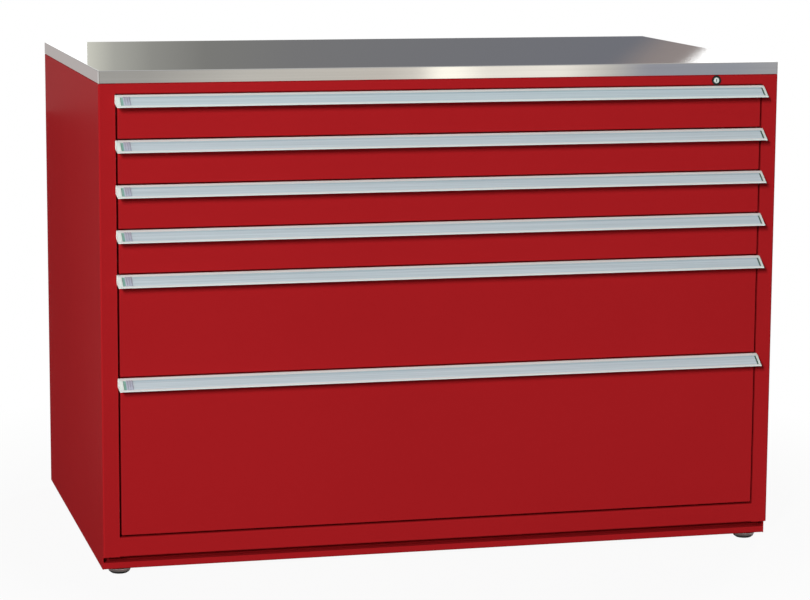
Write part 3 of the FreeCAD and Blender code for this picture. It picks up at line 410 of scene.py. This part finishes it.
# The tongue is one with the left cap only
right_cap = mirrored_copy(left_cap, "end_cap_right_1")
bpy.ops.object.select_all(action="DESELECT")
tongue.select_set(True)
left_cap.select_set(True)
bpy.context.view_layer.objects.active = left_cap
bpy.ops.object.join()
for place in DRAWERS:
    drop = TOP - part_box(f"handle_{place}")[1][2]
    for first, name, material in ((left_cap, "end_cap_left", cap_plastic),
                                  (right_cap, "end_cap_right", cap_plastic),
                                  (left_tab, "label_tab_left", tab_plastic),
                                  (slot_shade_piece, "label_slot_shade_right", slot_shade_plastic),
                                  (clip, "label_clip", clip_plastic)):
        piece = first if place == 1 else moved_copy(first, f"{name}_{place}", z=-drop)
        dress(piece, material, f"drawer_{place}")
        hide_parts(f"handle_caps_{place}")

# ---- Trays and runners
# The trays are folded from 1 mm sheet, painted light grey. The runners' rails, carriages
# and uprights are bright zinc-plated steel, and so are the lock's cam, link and bar.

tray_paint, shader = new_finish("light_grey_paint", (0.55, 0.56, 0.55), 0, 0.4)
drifting_colour(tray_paint, shader, (0.56, 0.57, 0.56), (0.52, 0.53, 0.52), 3)
fine_bump(tray_paint, shader, 500, 0.1, 0.0002)
zinc, shader = new_finish("zinc_plate", (0.62, 0.64, 0.66), 1, 0.36)
drifting_colour(zinc, shader, (0.66, 0.68, 0.70), (0.50, 0.53, 0.55), 45)
fine_bump(zinc, shader, 200, 0.1, 0.0002)
for place in DRAWERS:
    finish_nodes(tray_paint, f"tray_{place}")
    finish_nodes(zinc, f"carriage_{place}")
finish_nodes(zinc, "upright_front_left", "upright_front_right", "upright_rear_left",
             "upright_rear_right", "housing_rails_left", "housing_rails_right",
             "lock_cam", "lock_link", "lock_bar")

# ---- Divider strips
# Inside each tray stand four strips of slotted sheet, one along each wall, folded from
# 1 mm steel and painted with the tray. Dividers can be hung in their slots.

TRAY_SIDE, TRAY_GAUGE, SHALLOW_TRAY = 0.545, 0.001, 0.06
WALL_GAP, STRIP_GAUGE = 0.001, 0.001
# How far a strip stands over the tray's floor, under its rim and short of its corners
STRIP_LIFT, STRIP_REVEAL, STRIP_END = 0.0015, 0.0015, 0.004
SLOT_PITCH, SLOT_GAP, SLOT_BAND = 0.017, 0.004, 0.006


def slotted_strip(name, start, end, low, high, rows):
    """A strip standing along X with rows of upright slots, its middle at y 0."""
    slots = int((end - start - SLOT_PITCH) / SLOT_PITCH)
    bpy.ops.object.select_all(action="DESELECT")
    bpy.ops.mesh.primitive_grid_add(x_subdivisions=2 * slots + 1, y_subdivisions=2 * rows + 1)
    strip = bpy.context.object
    strip.name = name
    first_slot = (start + end - (slots - 1) * SLOT_PITCH - SLOT_GAP) / 2
    edges_x = [start] + [first_slot + slot * SLOT_PITCH + side
                         for slot in range(slots) for side in (0, SLOT_GAP)] + [end]
    slot_height = (high - low - (rows + 1) * SLOT_BAND) / rows
    edges_z = [low] + [low + SLOT_BAND + row * (slot_height + SLOT_BAND) + side
                       for row in range(rows) for side in (0, slot_height)] + [high]
    for vertex in strip.data.vertices:
        column = round((vertex.co.x + 1) / 2 * (len(edges_x) - 1))
        line = round((vertex.co.y + 1) / 2 * (len(edges_z) - 1))
        vertex.co = (edges_x[column], 0, edges_z[line])
    open_mesh(strip)
    pick_faces(strip, lambda centre, normal: any(
        edges_x[2 * slot + 1] < centre.x < edges_x[2 * slot + 2] for slot in range(slots)
    ) and any(edges_z[2 * row + 1] < centre.z < edges_z[2 * row + 2] for row in range(rows)))
    bpy.ops.mesh.delete(type="FACE")
    bpy.ops.mesh.select_all(action="SELECT")
    bpy.ops.mesh.dissolve_limited(angle_limit=math.radians(1), delimit={"NORMAL"})
    close_mesh()
    sheet = strip.modifiers.new("sheet", "SOLIDIFY")
    sheet.thickness = STRIP_GAUGE
    sheet.offset = 0
    bpy.ops.object.modifier_apply(modifier="sheet")
    return strip


def strip_set(place, rows):
    """The four strips of one tray, joined into one piece."""
    name = f"divider_strips_{place}"
    (_, front, tray_floor), (_, back, rim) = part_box(f"tray_{place}")
    low, high = tray_floor + STRIP_LIFT, rim - STRIP_REVEAL
    inset = TRAY_GAUGE + WALL_GAP + STRIP_GAUGE / 2
    strips = []
    for depth in (front + inset, back - inset):
        strip = slotted_strip(name, -TRAY_SIDE + STRIP_END, TRAY_SIDE - STRIP_END,
                              low, high, rows)
        for vertex in strip.data.vertices:
            vertex.co.y += depth
        strips.append(strip)
    for across in (-TRAY_SIDE + inset, TRAY_SIDE - inset):
        strip = slotted_strip(name, front + STRIP_END, back - STRIP_END, low, high, rows)
        for vertex in strip.data.vertices:
            vertex.co = (across - vertex.co.y, vertex.co.x, vertex.co.z)
        strips.append(strip)
    bpy.ops.object.select_all(action="DESELECT")
    for strip in strips:
        strip.select_set(True)
    bpy.context.view_layer.objects.active = strips[0]
    bpy.ops.object.join()
    open_mesh(strips[0])
    turn_faces_out()
    close_mesh()
    strips[0].name = name
    return strips[0]


shallow_strips = strip_set(1, 1)
first_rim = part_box("tray_1")[1][2]
for place in DRAWERS:
    (_, _, tray_floor), (_, _, rim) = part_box(f"tray_{place}")
    if place == 1:
        strips = shallow_strips
    elif rim - tray_floor < SHALLOW_TRAY:
        strips = moved_copy(shallow_strips, f"divider_strips_{place}", z=rim - first_rim)
    else:
        strips = strip_set(place, 2)
    dress(strips, tray_paint, f"drawer_{place}")

# ---- Lock
# A cam lock in the top rail: a black rosette with a rounded rim, and in it a bright nickel
# plug with an upright keyway. The plug turns with its cam.

def turned_piece(name, outline, place=(0, 0, 0), axis=(0, 0, 1), steps=48):
    """A piece as from a lathe: a disc drawn out and widened or narrowed ring by ring.

    outline gives a radius and a height along the axis for each ring, in metres.
    """
    radius, height = outline[0]
    bpy.ops.object.select_all(action="DESELECT")
    bpy.ops.mesh.primitive_circle_add(vertices=steps, radius=radius, fill_type="NGON",
                                      location=(0, 0, height))
    piece = bpy.context.object
    piece.name = name
    bpy.ops.object.transform_apply(location=True)
    open_mesh(piece)
    bpy.ops.mesh.select_all(action="SELECT")
    for next_radius, next_height in outline[1:]:
        bpy.ops.mesh.extrude_region_move(
            TRANSFORM_OT_translate={"value": (0, 0, next_height - height)})
        grown = next_radius / radius
        bpy.ops.transform.resize(value=(grown, grown, 1), center_override=(0, 0, next_height))
        radius, height = next_radius, next_height
    turn_faces_out()
    close_mesh()
    piece.rotation_euler = Vector((0, 0, 1)).rotation_difference(Vector(axis)).to_euler()
    piece.location = place
    bpy.ops.object.transform_apply(location=True, rotation=True)
    return piece


black_nickel, shader = new_finish("black_nickel", (0.035, 0.04, 0.038), 1, 0.25)
drifting_colour(black_nickel, shader, (0.05, 0.055, 0.052), (0.025, 0.03, 0.028), 300)
fine_bump(black_nickel, shader, 900, 0.05, 0.0001)
bright_nickel, shader = new_finish("bright_nickel", (0.74, 0.84, 0.80), 0.5, 0.3)
drifting_colour(bright_nickel, shader, (0.78, 0.87, 0.83), (0.66, 0.78, 0.73), 400)
fine_bump(bright_nickel, shader, 900, 0.05, 0.0001)
painted_keyway_shade, shader = new_finish("painted_keyway_shade", (0.01, 0.01, 0.01), 0, 0.6)
fine_bump(painted_keyway_shade, shader, 900, 0.05, 0.0001)

barrel_low, barrel_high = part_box("lock_barrel")
plug_low, plug_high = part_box("lock_plug")
LOCK_X = (barrel_low[0] + barrel_high[0]) / 2
LOCK_Z = (barrel_low[2] + barrel_high[2]) / 2
LOCK_FRONT, PLUG_FRONT, PLUG_BACK = barrel_low[1], plug_low[1], plug_high[1]
PLUG_RADIUS = (plug_high[0] - plug_low[0]) / 2
PLUG_PLAY, ROSETTE_DEPTH, NECK = 0.00035, 0.0285, 0.0066
HOLE_RADIUS = PLUG_RADIUS + PLUG_PLAY
rosette = turned_piece("lock_rosette", (
    (NECK, 0.0), (NECK, 0.0258), (0.0084, 0.0261), (0.0084, 0.0272), (0.00815, 0.0279),
    (0.0076, 0.0284), (0.0069, ROSETTE_DEPTH), (0.0063, 0.0279), (0.0060, 0.0276),
    (HOLE_RADIUS, 0.0276), (HOLE_RADIUS, 0.0), (NECK, 0.0),
), (LOCK_X, LOCK_FRONT + ROSETTE_DEPTH, LOCK_Z), (0, -1, 0))
# The last ring meets the first: the two end discs go, and the tube closes on itself
open_mesh(rosette)
pick_faces(rosette, lambda centre, normal: abs(normal.y) > FACING and
           (centre - Vector((LOCK_X, centre.y, LOCK_Z))).length < CLOSE)
bpy.ops.mesh.delete(type="ONLY_FACE")
bpy.ops.mesh.select_all(action="SELECT")
bpy.ops.mesh.remove_doubles(threshold=CLOSE / 10)
turn_faces_out()
close_mesh()
smooth_by_angle(rosette)
dress(rosette, black_nickel, "housing")
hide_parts("lock_barrel")

PLUG_REACH = PLUG_BACK - PLUG_FRONT
PLUG_EASE, PLUG_RIM, PLUG_REVEAL = 0.0005, 0.0012, 0.0001
plug = turned_piece("lock_key_plug", (
    (PLUG_RADIUS, 0.0), (PLUG_RADIUS, PLUG_REACH - PLUG_EASE),
    (PLUG_RADIUS - PLUG_EASE, PLUG_REACH - PLUG_REVEAL),
    (PLUG_RADIUS - PLUG_RIM, PLUG_REACH - PLUG_REVEAL),
), (LOCK_X, PLUG_BACK, LOCK_Z), (0, -1, 0))
KEYWAY_WIDTH, KEYWAY_HEIGHT, KEYWAY_DEPTH = 0.0013, 0.0056, 0.004


def within_keyway(centre, margin=0.0):
    return (abs(centre.x - LOCK_X) < KEYWAY_WIDTH / 2 + margin and
            abs(centre.z - LOCK_Z) < KEYWAY_HEIGHT / 2 + margin)


open_mesh(plug)
for sideways, upward in ((KEYWAY_WIDTH / 2, 0), (-KEYWAY_WIDTH / 2, 0),
                         (0, KEYWAY_HEIGHT / 2), (0, -KEYWAY_HEIGHT / 2)):
    pick_faces(plug, lambda centre, normal: normal.y < -FACING)
    bpy.ops.mesh.bisect(plane_co=(LOCK_X + sideways, 0, LOCK_Z + upward),
                        plane_no=(1, 0, 0) if sideways else (0, 0, 1))
pick_faces(plug, lambda centre, normal: normal.y < -FACING and within_keyway(centre))
bpy.ops.mesh.extrude_region_move(TRANSFORM_OT_translate={"value": (0, KEYWAY_DEPTH, 0)})
close_mesh()
smooth_by_angle(plug)
plug.data.materials.append(bright_nickel)
plug.data.materials.append(painted_keyway_shade)
# The keyway's walls and bottom lie behind the plug's face, and take a near-black painted
# shade
WALLS_FROM, WALLS_TO = PLUG_FRONT + 3 * PLUG_REVEAL, PLUG_FRONT + 1.5 * KEYWAY_DEPTH
for face in plug.data.polygons:
    if WALLS_FROM < face.center.y < WALLS_TO and within_keyway(face.center, CLOSE):
        face.material_index = 1
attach(plug, "lock")
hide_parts("lock_plug")

# ---- Feet
# Each foot is a turned bowl of dark nickel on a black rubber sole, and swivels on the end
# of a short threaded stud of blackened steel, which is screwed into a bracket in the base.

blackened, shader = new_finish("blackened_steel", (0.03, 0.03, 0.03), 0.6, 0.5)
drifting_colour(blackened, shader, (0.04, 0.04, 0.04), (0.022, 0.022, 0.022), 90)
fine_bump(blackened, shader, 300, 0.1, 0.0001)
dark_nickel, shader = new_finish("dark_nickel", (0.50, 0.43, 0.41), 1, 0.2)
drifting_colour(dark_nickel, shader, (0.54, 0.47, 0.45), (0.44, 0.38, 0.36), 120)
fine_bump(dark_nickel, shader, 500, 0.06, 0.0001)
rubber, shader = new_finish("black_rubber", (0.012, 0.012, 0.012), 0, 0.55)
drifting_colour(rubber, shader, (0.016, 0.016, 0.016), (0.009, 0.009, 0.009), 200)
fine_bump(rubber, shader, 700, 0.2, 0.0001)
finish_nodes(red_paint, "foot_brackets")

THREAD_CORE, THREAD_CREST, THREAD_PITCH, THREADS = 0.0042, 0.0049, 0.00125, 6
STUD_FOOT, THREAD_START, THREAD_RISE = 0.0088, 0.0094, 0.0006
stud_outline = [(THREAD_CORE, STUD_FOOT)]
for turn in range(THREADS):
    crest = THREAD_START + turn * THREAD_PITCH
    stud_outline += [(THREAD_CREST, crest), (THREAD_CORE, crest + THREAD_RISE)]
stud = turned_piece("foot_stud_1", stud_outline, steps=24)
sole = turned_piece("foot_sole_1", (
    (0.0128, 0.0), (0.0138, 0.0001), (0.0141, 0.0004), (0.0172, 0.0026), (0.0180, 0.0036),
    (0.0176, 0.0038), (0.0120, 0.0036),
))
bowl = turned_piece("foot_bowl_1", (
    (0.0150, 0.0036), (0.0174, 0.0037), (0.0184, 0.0050), (0.0192, 0.0064), (0.0197, 0.0078),
    (0.0197, 0.0088), (0.0193, 0.0094), (0.0186, 0.0095), (0.0176, 0.0092), (0.0120, 0.0084),
    (0.0060, 0.0084), (0.0060, 0.0094),
))
for first in (sole, bowl, stud):
    smooth_by_angle(first, 40)

PAD_RADIUS, FOOT_INSET = 0.02, 0.031
pads_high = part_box("foot_pads")[1]
SPREAD = pads_high[0] - PAD_RADIUS
FRONT_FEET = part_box("bottom_rail")[0][1] + FOOT_INSET
BACK_FEET = pads_high[1] - PAD_RADIUS
corners = [(side, depth) for side in (-SPREAD, SPREAD) for depth in (FRONT_FEET, BACK_FEET)]
for corner, (side, depth) in enumerate(corners, 1):
    for first, name, material, slot, node in (
        (sole, "foot_sole", rubber, "foot_plastic", "foot_pads"),
        (bowl, "foot_bowl", dark_nickel, "foot_plastic", "foot_pads"),
        (stud, "foot_stud", blackened, "zinc_steel", "foot_spindles"),
    ):
        foot = moved_copy(first, f"{name}_{corner}_of_4", x=side, y=depth)
        dress(foot, material, "housing")
        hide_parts(node)
for first in (sole, bowl, stud):
    bpy.data.objects.remove(first)

# ---- Closing strip
# The gap over the base strip's lip is closed behind by a painted strip of folded sheet,
# which rests on the lip and runs up to the bottom rail.

base_low, base_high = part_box("base_strip")
LIP_TOP, BASE_GAUGE, CLOSER_GAUGE = 0.0215, 0.0015, 0.0012
CLOSER_SETBACK, CLOSER_FOLD, TOP_PLAY, END_PLAY = 0.018, 0.001, 0.0002, 0.0005
closer_front = base_low[1] + BASE_GAUGE + CLOSE
closer_foot, closer_top = LIP_TOP - CLOSER_GAUGE, base_high[2] - TOP_PLAY
closer_face = base_low[1] + CLOSER_SETBACK
closer_shape = (
    (closer_front, closer_foot), (closer_front, LIP_TOP - CLOSE),
    (closer_face, LIP_TOP - CLOSE), (closer_face, closer_top),
    (closer_face + CLOSER_GAUGE, closer_top), (closer_face + CLOSER_GAUGE, closer_foot))
closer = plate_from_outline("recess_closing_strip", closer_shape, base_low[0] + END_PLAY,
                            base_high[0] - base_low[0] - 2 * END_PLAY)
# The fold's inner and outer edges are the two long ones near the lip and under its top
open_mesh(closer)
pick_edges(closer, lambda a, b: abs(a.x - b.x) > CLOSE and a.z < LIP_TOP and
           (abs(a.y - closer_face) < CLOSE or a.y > closer_face + CLOSER_GAUGE - CLOSE))
bpy.ops.mesh.bevel(offset=CLOSER_FOLD, segments=3, affect="EDGES")
close_mesh()
smooth_by_angle(closer)
dress(closer, red_paint, "housing")

# ---- Rivets
# The back panel is fixed to the carcass with blind rivets, whose low domed flanges show in
# a row along its top and another along its foot.

rivet_steel, shader = new_finish("rivet_steel", (0.45, 0.46, 0.48), 1, 0.35)
drifting_colour(rivet_steel, shader, (0.52, 0.53, 0.55), (0.36, 0.37, 0.39), 300)
fine_bump(rivet_steel, shader, 900, 0.1, 0.0001)
back_low, back_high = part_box("back_panel")
rivet = turned_piece("rivet", (
    (0.0042, -0.0004), (0.0042, 0.0003), (0.0038, 0.0008), (0.0029, 0.0012),
    (0.0019, 0.0013), (0.0015, 0.0012), (0.0014, 0.0007), (0.0008, 0.0006),
), axis=(0, 1, 0), steps=24)
smooth_by_angle(rivet)
RIVETS_IN_ROW, RIVET_EDGE = 7, 0.012
row_start = back_low[0] + RIVET_EDGE
row_length = back_high[0] - back_low[0] - 2 * RIVET_EDGE
places = [(row_start + row_length * place / (RIVETS_IN_ROW - 1), height)
          for height in (back_low[2] + RIVET_EDGE, back_high[2] - RIVET_EDGE)
          for place in range(RIVETS_IN_ROW)]
for count, (across, height) in enumerate(places, 1):
    head = moved_copy(rivet, f"back_rivet_{count}", across, back_high[1], height)
    dress(head, rivet_steel, "housing")
bpy.data.objects.remove(rivet)

# ---- Studio
# A plain pale floor and a white surround, with softboxes in front, at the left and behind.
# Grey and white cards stand round the object, and only its reflections show them.

def studio_finish(name):
    material = bpy.data.materials.new(name)
    material.use_nodes = True
    material.node_tree.nodes.clear()
    return material, add_node(material, "OutputMaterial")


def combine(holder, operation, first, second):
    """One value worked out from two others, in a material or the world."""
    made = add_node(holder, "Math")
    made.operation = operation
    wire(holder, first, made.inputs[0])
    wire(holder, second, made.inputs[1])
    return made.outputs["Value"]


# The floor is grey paper to the light. Seen straight on it glows nearly white, and white
# further out, and the metal sees it turn from paper to white over the same distance
bpy.ops.mesh.primitive_plane_add(size=60, location=(0, 0, 0))
floor = bpy.context.object
floor.name = "studio_floor"
floor_white, output = studio_finish("floor_white")
paper = add_node(floor_white, "BsdfDiffuse", Color=(0.45, 0.45, 0.45, 1))
glow = add_node(floor_white, "Emission", Strength=1.0)
ray = add_node(floor_white, "LightPath")
place = add_node(floor_white, "TexCoord")
reach = add_node(floor_white, "VectorMath")
reach.operation = "LENGTH"
far = add_node(floor_white, "MapRange", From_Min=0.75, From_Max=1.3)
shown = add_node(floor_white, "MapRange", To_Min=0.94)
wire(floor_white, place.outputs["Object"], reach.inputs[0])
wire(floor_white, reach.outputs["Value"], far.inputs["Value"])
wire(floor_white, far.outputs["Result"], shown.inputs["Value"])
by_camera = combine(floor_white, "MULTIPLY",
                    ray.outputs["Is Camera Ray"], shown.outputs["Result"])
by_gloss = combine(floor_white, "MULTIPLY",
                   ray.outputs["Is Glossy Ray"], far.outputs["Result"])
seen = combine(floor_white, "MAXIMUM", by_camera, by_gloss)
seen = combine(floor_white, "MAXIMUM", seen, ray.outputs["Is Transmission Ray"])
mixed = add_node(floor_white, "MixShader")
wire(floor_white, seen, mixed.inputs["Fac"])
wire(floor_white, paper.outputs["BSDF"], mixed.inputs[1])
wire(floor_white, glow.outputs["Emission"], mixed.inputs[2])
wire(floor_white, mixed.outputs["Shader"], output.inputs["Surface"])
floor.data.materials.append(floor_white)

# The surround is white to see, and gives only a little light
scene = bpy.context.scene
world = bpy.data.worlds.new("studio")
scene.world = world
world.use_nodes = True
dome = world.node_tree.nodes["Background"]
dome.inputs["Color"].default_value = (1, 1, 1, 1)
ray = add_node(world, "LightPath")
seen = combine(world, "MAXIMUM", ray.outputs["Is Camera Ray"], ray.outputs["Is Glossy Ray"])
seen = combine(world, "MAXIMUM", seen, ray.outputs["Is Transmission Ray"])
level = add_node(world, "MapRange", To_Min=0.09, To_Max=1.0)
wire(world, seen, level.inputs["Value"])
wire(world, level.outputs["Result"], dome.inputs["Strength"])


def softbox(name, place, aim, width, height, power):
    lamp = bpy.data.lights.new(name, "AREA")
    lamp.shape = "RECTANGLE"
    lamp.size = width
    lamp.size_y = height
    lamp.energy = power
    holder = bpy.data.objects.new(name, lamp)
    scene.collection.objects.link(holder)
    holder.location = place
    holder.visible_glossy = False
    holder.rotation_euler = (Vector(aim) - Vector(place)).to_track_quat("-Z", "Y").to_euler()


softbox("front_softbox", (-5.6, -10.4, 4.5), (0, -0.3, 0.45), 1.2, 2.8, 1490)
softbox("left_softbox", (-6.5, -0.5, 1.7), (-0.5, 0.0, 0.45), 1.6, 1.6, 88)
softbox("back_softbox", (6.0, 7.5, 3.6), (0.2, 0.2, 0.45), 1.6, 1.6, 800)


def reflector_card(name, corners, shades):
    """A card that shows only in reflections, and whose shade changes along its width.

    shades gives the places along the card, 0 to 1, and the shade of each.
    """
    bpy.ops.mesh.primitive_plane_add(size=1, location=(0, 0, 0))
    card = bpy.context.object
    card.name = name
    for vertex in card.data.vertices:
        along = 1 if vertex.co.x > 0 else 0
        upward = 1 if vertex.co.y > 0 else 0
        vertex.co = corners[2 * upward + along]
    paint, output = studio_finish(name + "_paint")
    lit = add_node(paint, "Emission", Strength=1.0)
    place = add_node(paint, "UVMap")
    split = add_node(paint, "SeparateXYZ")
    band = add_node(paint, "ValToRGB")
    ramp = band.color_ramp
    while len(ramp.elements) < len(shades):
        ramp.elements.new(0.5)
    for element, (where, shade) in zip(ramp.elements, shades):
        element.position = where
        element.color = (*shade, 1)
    wire(paint, place.outputs["UV"], split.inputs["Vector"])
    wire(paint, split.outputs["X"], band.inputs["Fac"])
    wire(paint, band.outputs["Color"], lit.inputs["Color"])
    wire(paint, lit.outputs["Emission"], output.inputs["Surface"])
    card.data.materials.append(paint)
    card.visible_camera = False
    card.visible_diffuse = False
    card.visible_transmission = False
    card.visible_shadow = False


def upright_card(name, start, end, foot, head, shades):
    """A card standing on the line from start to end, each an x and a y."""
    reflector_card(name, [(*start, foot), (*end, foot), (*start, head), (*end, head)], shades)


def one_shade(*shade):
    return [(0.0, shade), (1.0, shade)]


# A grey wall behind, which the worktop reflects at a low angle: paler at its left end,
# warmer at its right. It stands before a white one, which shows past both its ends.
BEHIND, FAR_BEHIND = 2.2, 2.25
WALL_FOOT, WALL_HEAD, CEILING, ROOM = 0.7, 1.25, 3.4, 4.5
GREY_START, WHITE_START = -0.27, -0.5
GREY_END_LOW, GREY_END_HIGH = 1.78, 1.12
SOFT_GREY = [(0.0, (0.42, 0.42, 0.42)), (0.5, (0.26, 0.26, 0.265)), (1.0, (0.42, 0.42, 0.42))]
BEHIND_SHADES = [(0.0, (0.62, 0.62, 0.55)), (0.05, (0.40, 0.40, 0.365)),
                 (0.12, (0.28, 0.28, 0.26)), (0.22, (0.205, 0.205, 0.195)),
                 (0.4, (0.185, 0.185, 0.19)), (0.89, (0.165, 0.17, 0.195)),
                 (0.94, (0.27, 0.235, 0.23)), (1.0, (0.29, 0.25, 0.24))]
reflector_card("back_card",
               [(GREY_START, BEHIND, WALL_FOOT), (GREY_END_LOW, BEHIND, WALL_FOOT),
                (GREY_START, BEHIND, WALL_HEAD), (GREY_END_HIGH, BEHIND, WALL_HEAD)],
               BEHIND_SHADES)
upright_card("back_card_white", (WHITE_START, FAR_BEHIND), (ROOM, FAR_BEHIND), 0.0, WALL_HEAD,
             one_shade(1.3, 1.3, 1.3))
upright_card("back_card_left", (-ROOM, BEHIND), (WHITE_START, BEHIND), WALL_FOOT, WALL_HEAD,
             SOFT_GREY)

# Soft grey walls and a ceiling over all this, which the worktop reflects seen from higher
# up or from behind
for name, start, end in (
    ("back", (-ROOM, BEHIND), (ROOM, BEHIND)), ("front", (-ROOM, -ROOM), (ROOM, -ROOM)),
    ("left", (-ROOM, -ROOM), (-ROOM, BEHIND)), ("right", (ROOM, -ROOM), (ROOM, BEHIND)),
):
    upright_card(f"{name}_wall_card", start, end, WALL_HEAD, CEILING, SOFT_GREY)
reflector_card("ceiling_card", [(-ROOM, -ROOM, CEILING), (ROOM, -ROOM, CEILING),
                                (-ROOM, BEHIND, CEILING), (ROOM, BEHIND, CEILING)],
               [(0.0, (0.5, 0.5, 0.5)), (0.5, (0.62, 0.62, 0.62)), (1.0, (0.5, 0.5, 0.5))])

# A grey wall before the object with one warm white panel, which the front edge reflects
BEFORE = -2.5
BEFORE_SHADES = [(0.0, (0.42, 0.42, 0.41)), (0.28, (0.43, 0.42, 0.4)),
                 (0.34, (0.62, 0.6, 0.56)), (0.43, (0.66, 0.62, 0.57)),
                 (0.452, (0.8, 0.76, 0.7)), (0.463, (1.3, 1.25, 1.12)),
                 (0.476, (1.3, 1.25, 1.12)), (0.495, (1.0, 0.95, 0.87)),
                 (0.545, (1.04, 0.99, 0.91)), (0.575, (0.64, 0.62, 0.58)),
                 (0.6, (0.35, 0.36, 0.41)), (0.66, (0.35, 0.37, 0.42)),
                 (0.69, (0.42, 0.42, 0.44))]
upright_card("front_card", (-1.3, BEFORE), (2.7, BEFORE), 0.3, 1.1, BEFORE_SHADES)

# Dark cards low behind on the left, one upright and one on the floor, which the side panel
# reflects, and a grey band over them for the left edge of the worktop
BESIDE, SIDE_START, SIDE_END = 0.42, -0.92, -0.5995
SIDE_FRONT, ON_FLOOR, BAND_FOOT, BAND_HEAD = -1.2, 0.003, 0.72, 0.88
DARK = one_shade(0.06, 0.06, 0.06)
upright_card("side_card_low", (SIDE_START, BESIDE), (SIDE_END, BESIDE), 0.0, BAND_FOOT, DARK)
reflector_card("side_card_floor",
               [(SIDE_START, SIDE_FRONT, ON_FLOOR), (SIDE_END, SIDE_FRONT, ON_FLOOR),
                (SIDE_START, BESIDE, ON_FLOOR), (SIDE_END, BESIDE, ON_FLOOR)], DARK)
upright_card("side_card_grey", (SIDE_START, BESIDE), (SIDE_END, BESIDE), BAND_FOOT, BAND_HEAD,
             one_shade(0.5, 0.46, 0.45))

CAMERA_PLACE = (-1.2282, -4.8969, 1.2024)
YAW, PITCH, ROLL = math.radians(14.241), math.radians(9.022), math.radians(0.32)
camera = bpy.data.cameras.new("camera")
camera.sensor_width = 36
camera.lens = 123.42
viewer = bpy.data.objects.new("camera", camera)
scene.collection.objects.link(viewer)
viewer.matrix_world = (
    Matrix.Translation(CAMERA_PLACE)
    @ Matrix.Rotation(-YAW, 4, "Z")
    @ Matrix.Rotation(math.pi / 2 - PITCH, 4, "X")
    @ Matrix.Rotation(ROLL, 4, "Z")
)
scene.camera = viewer
scene.view_settings.view_transform = "Standard"
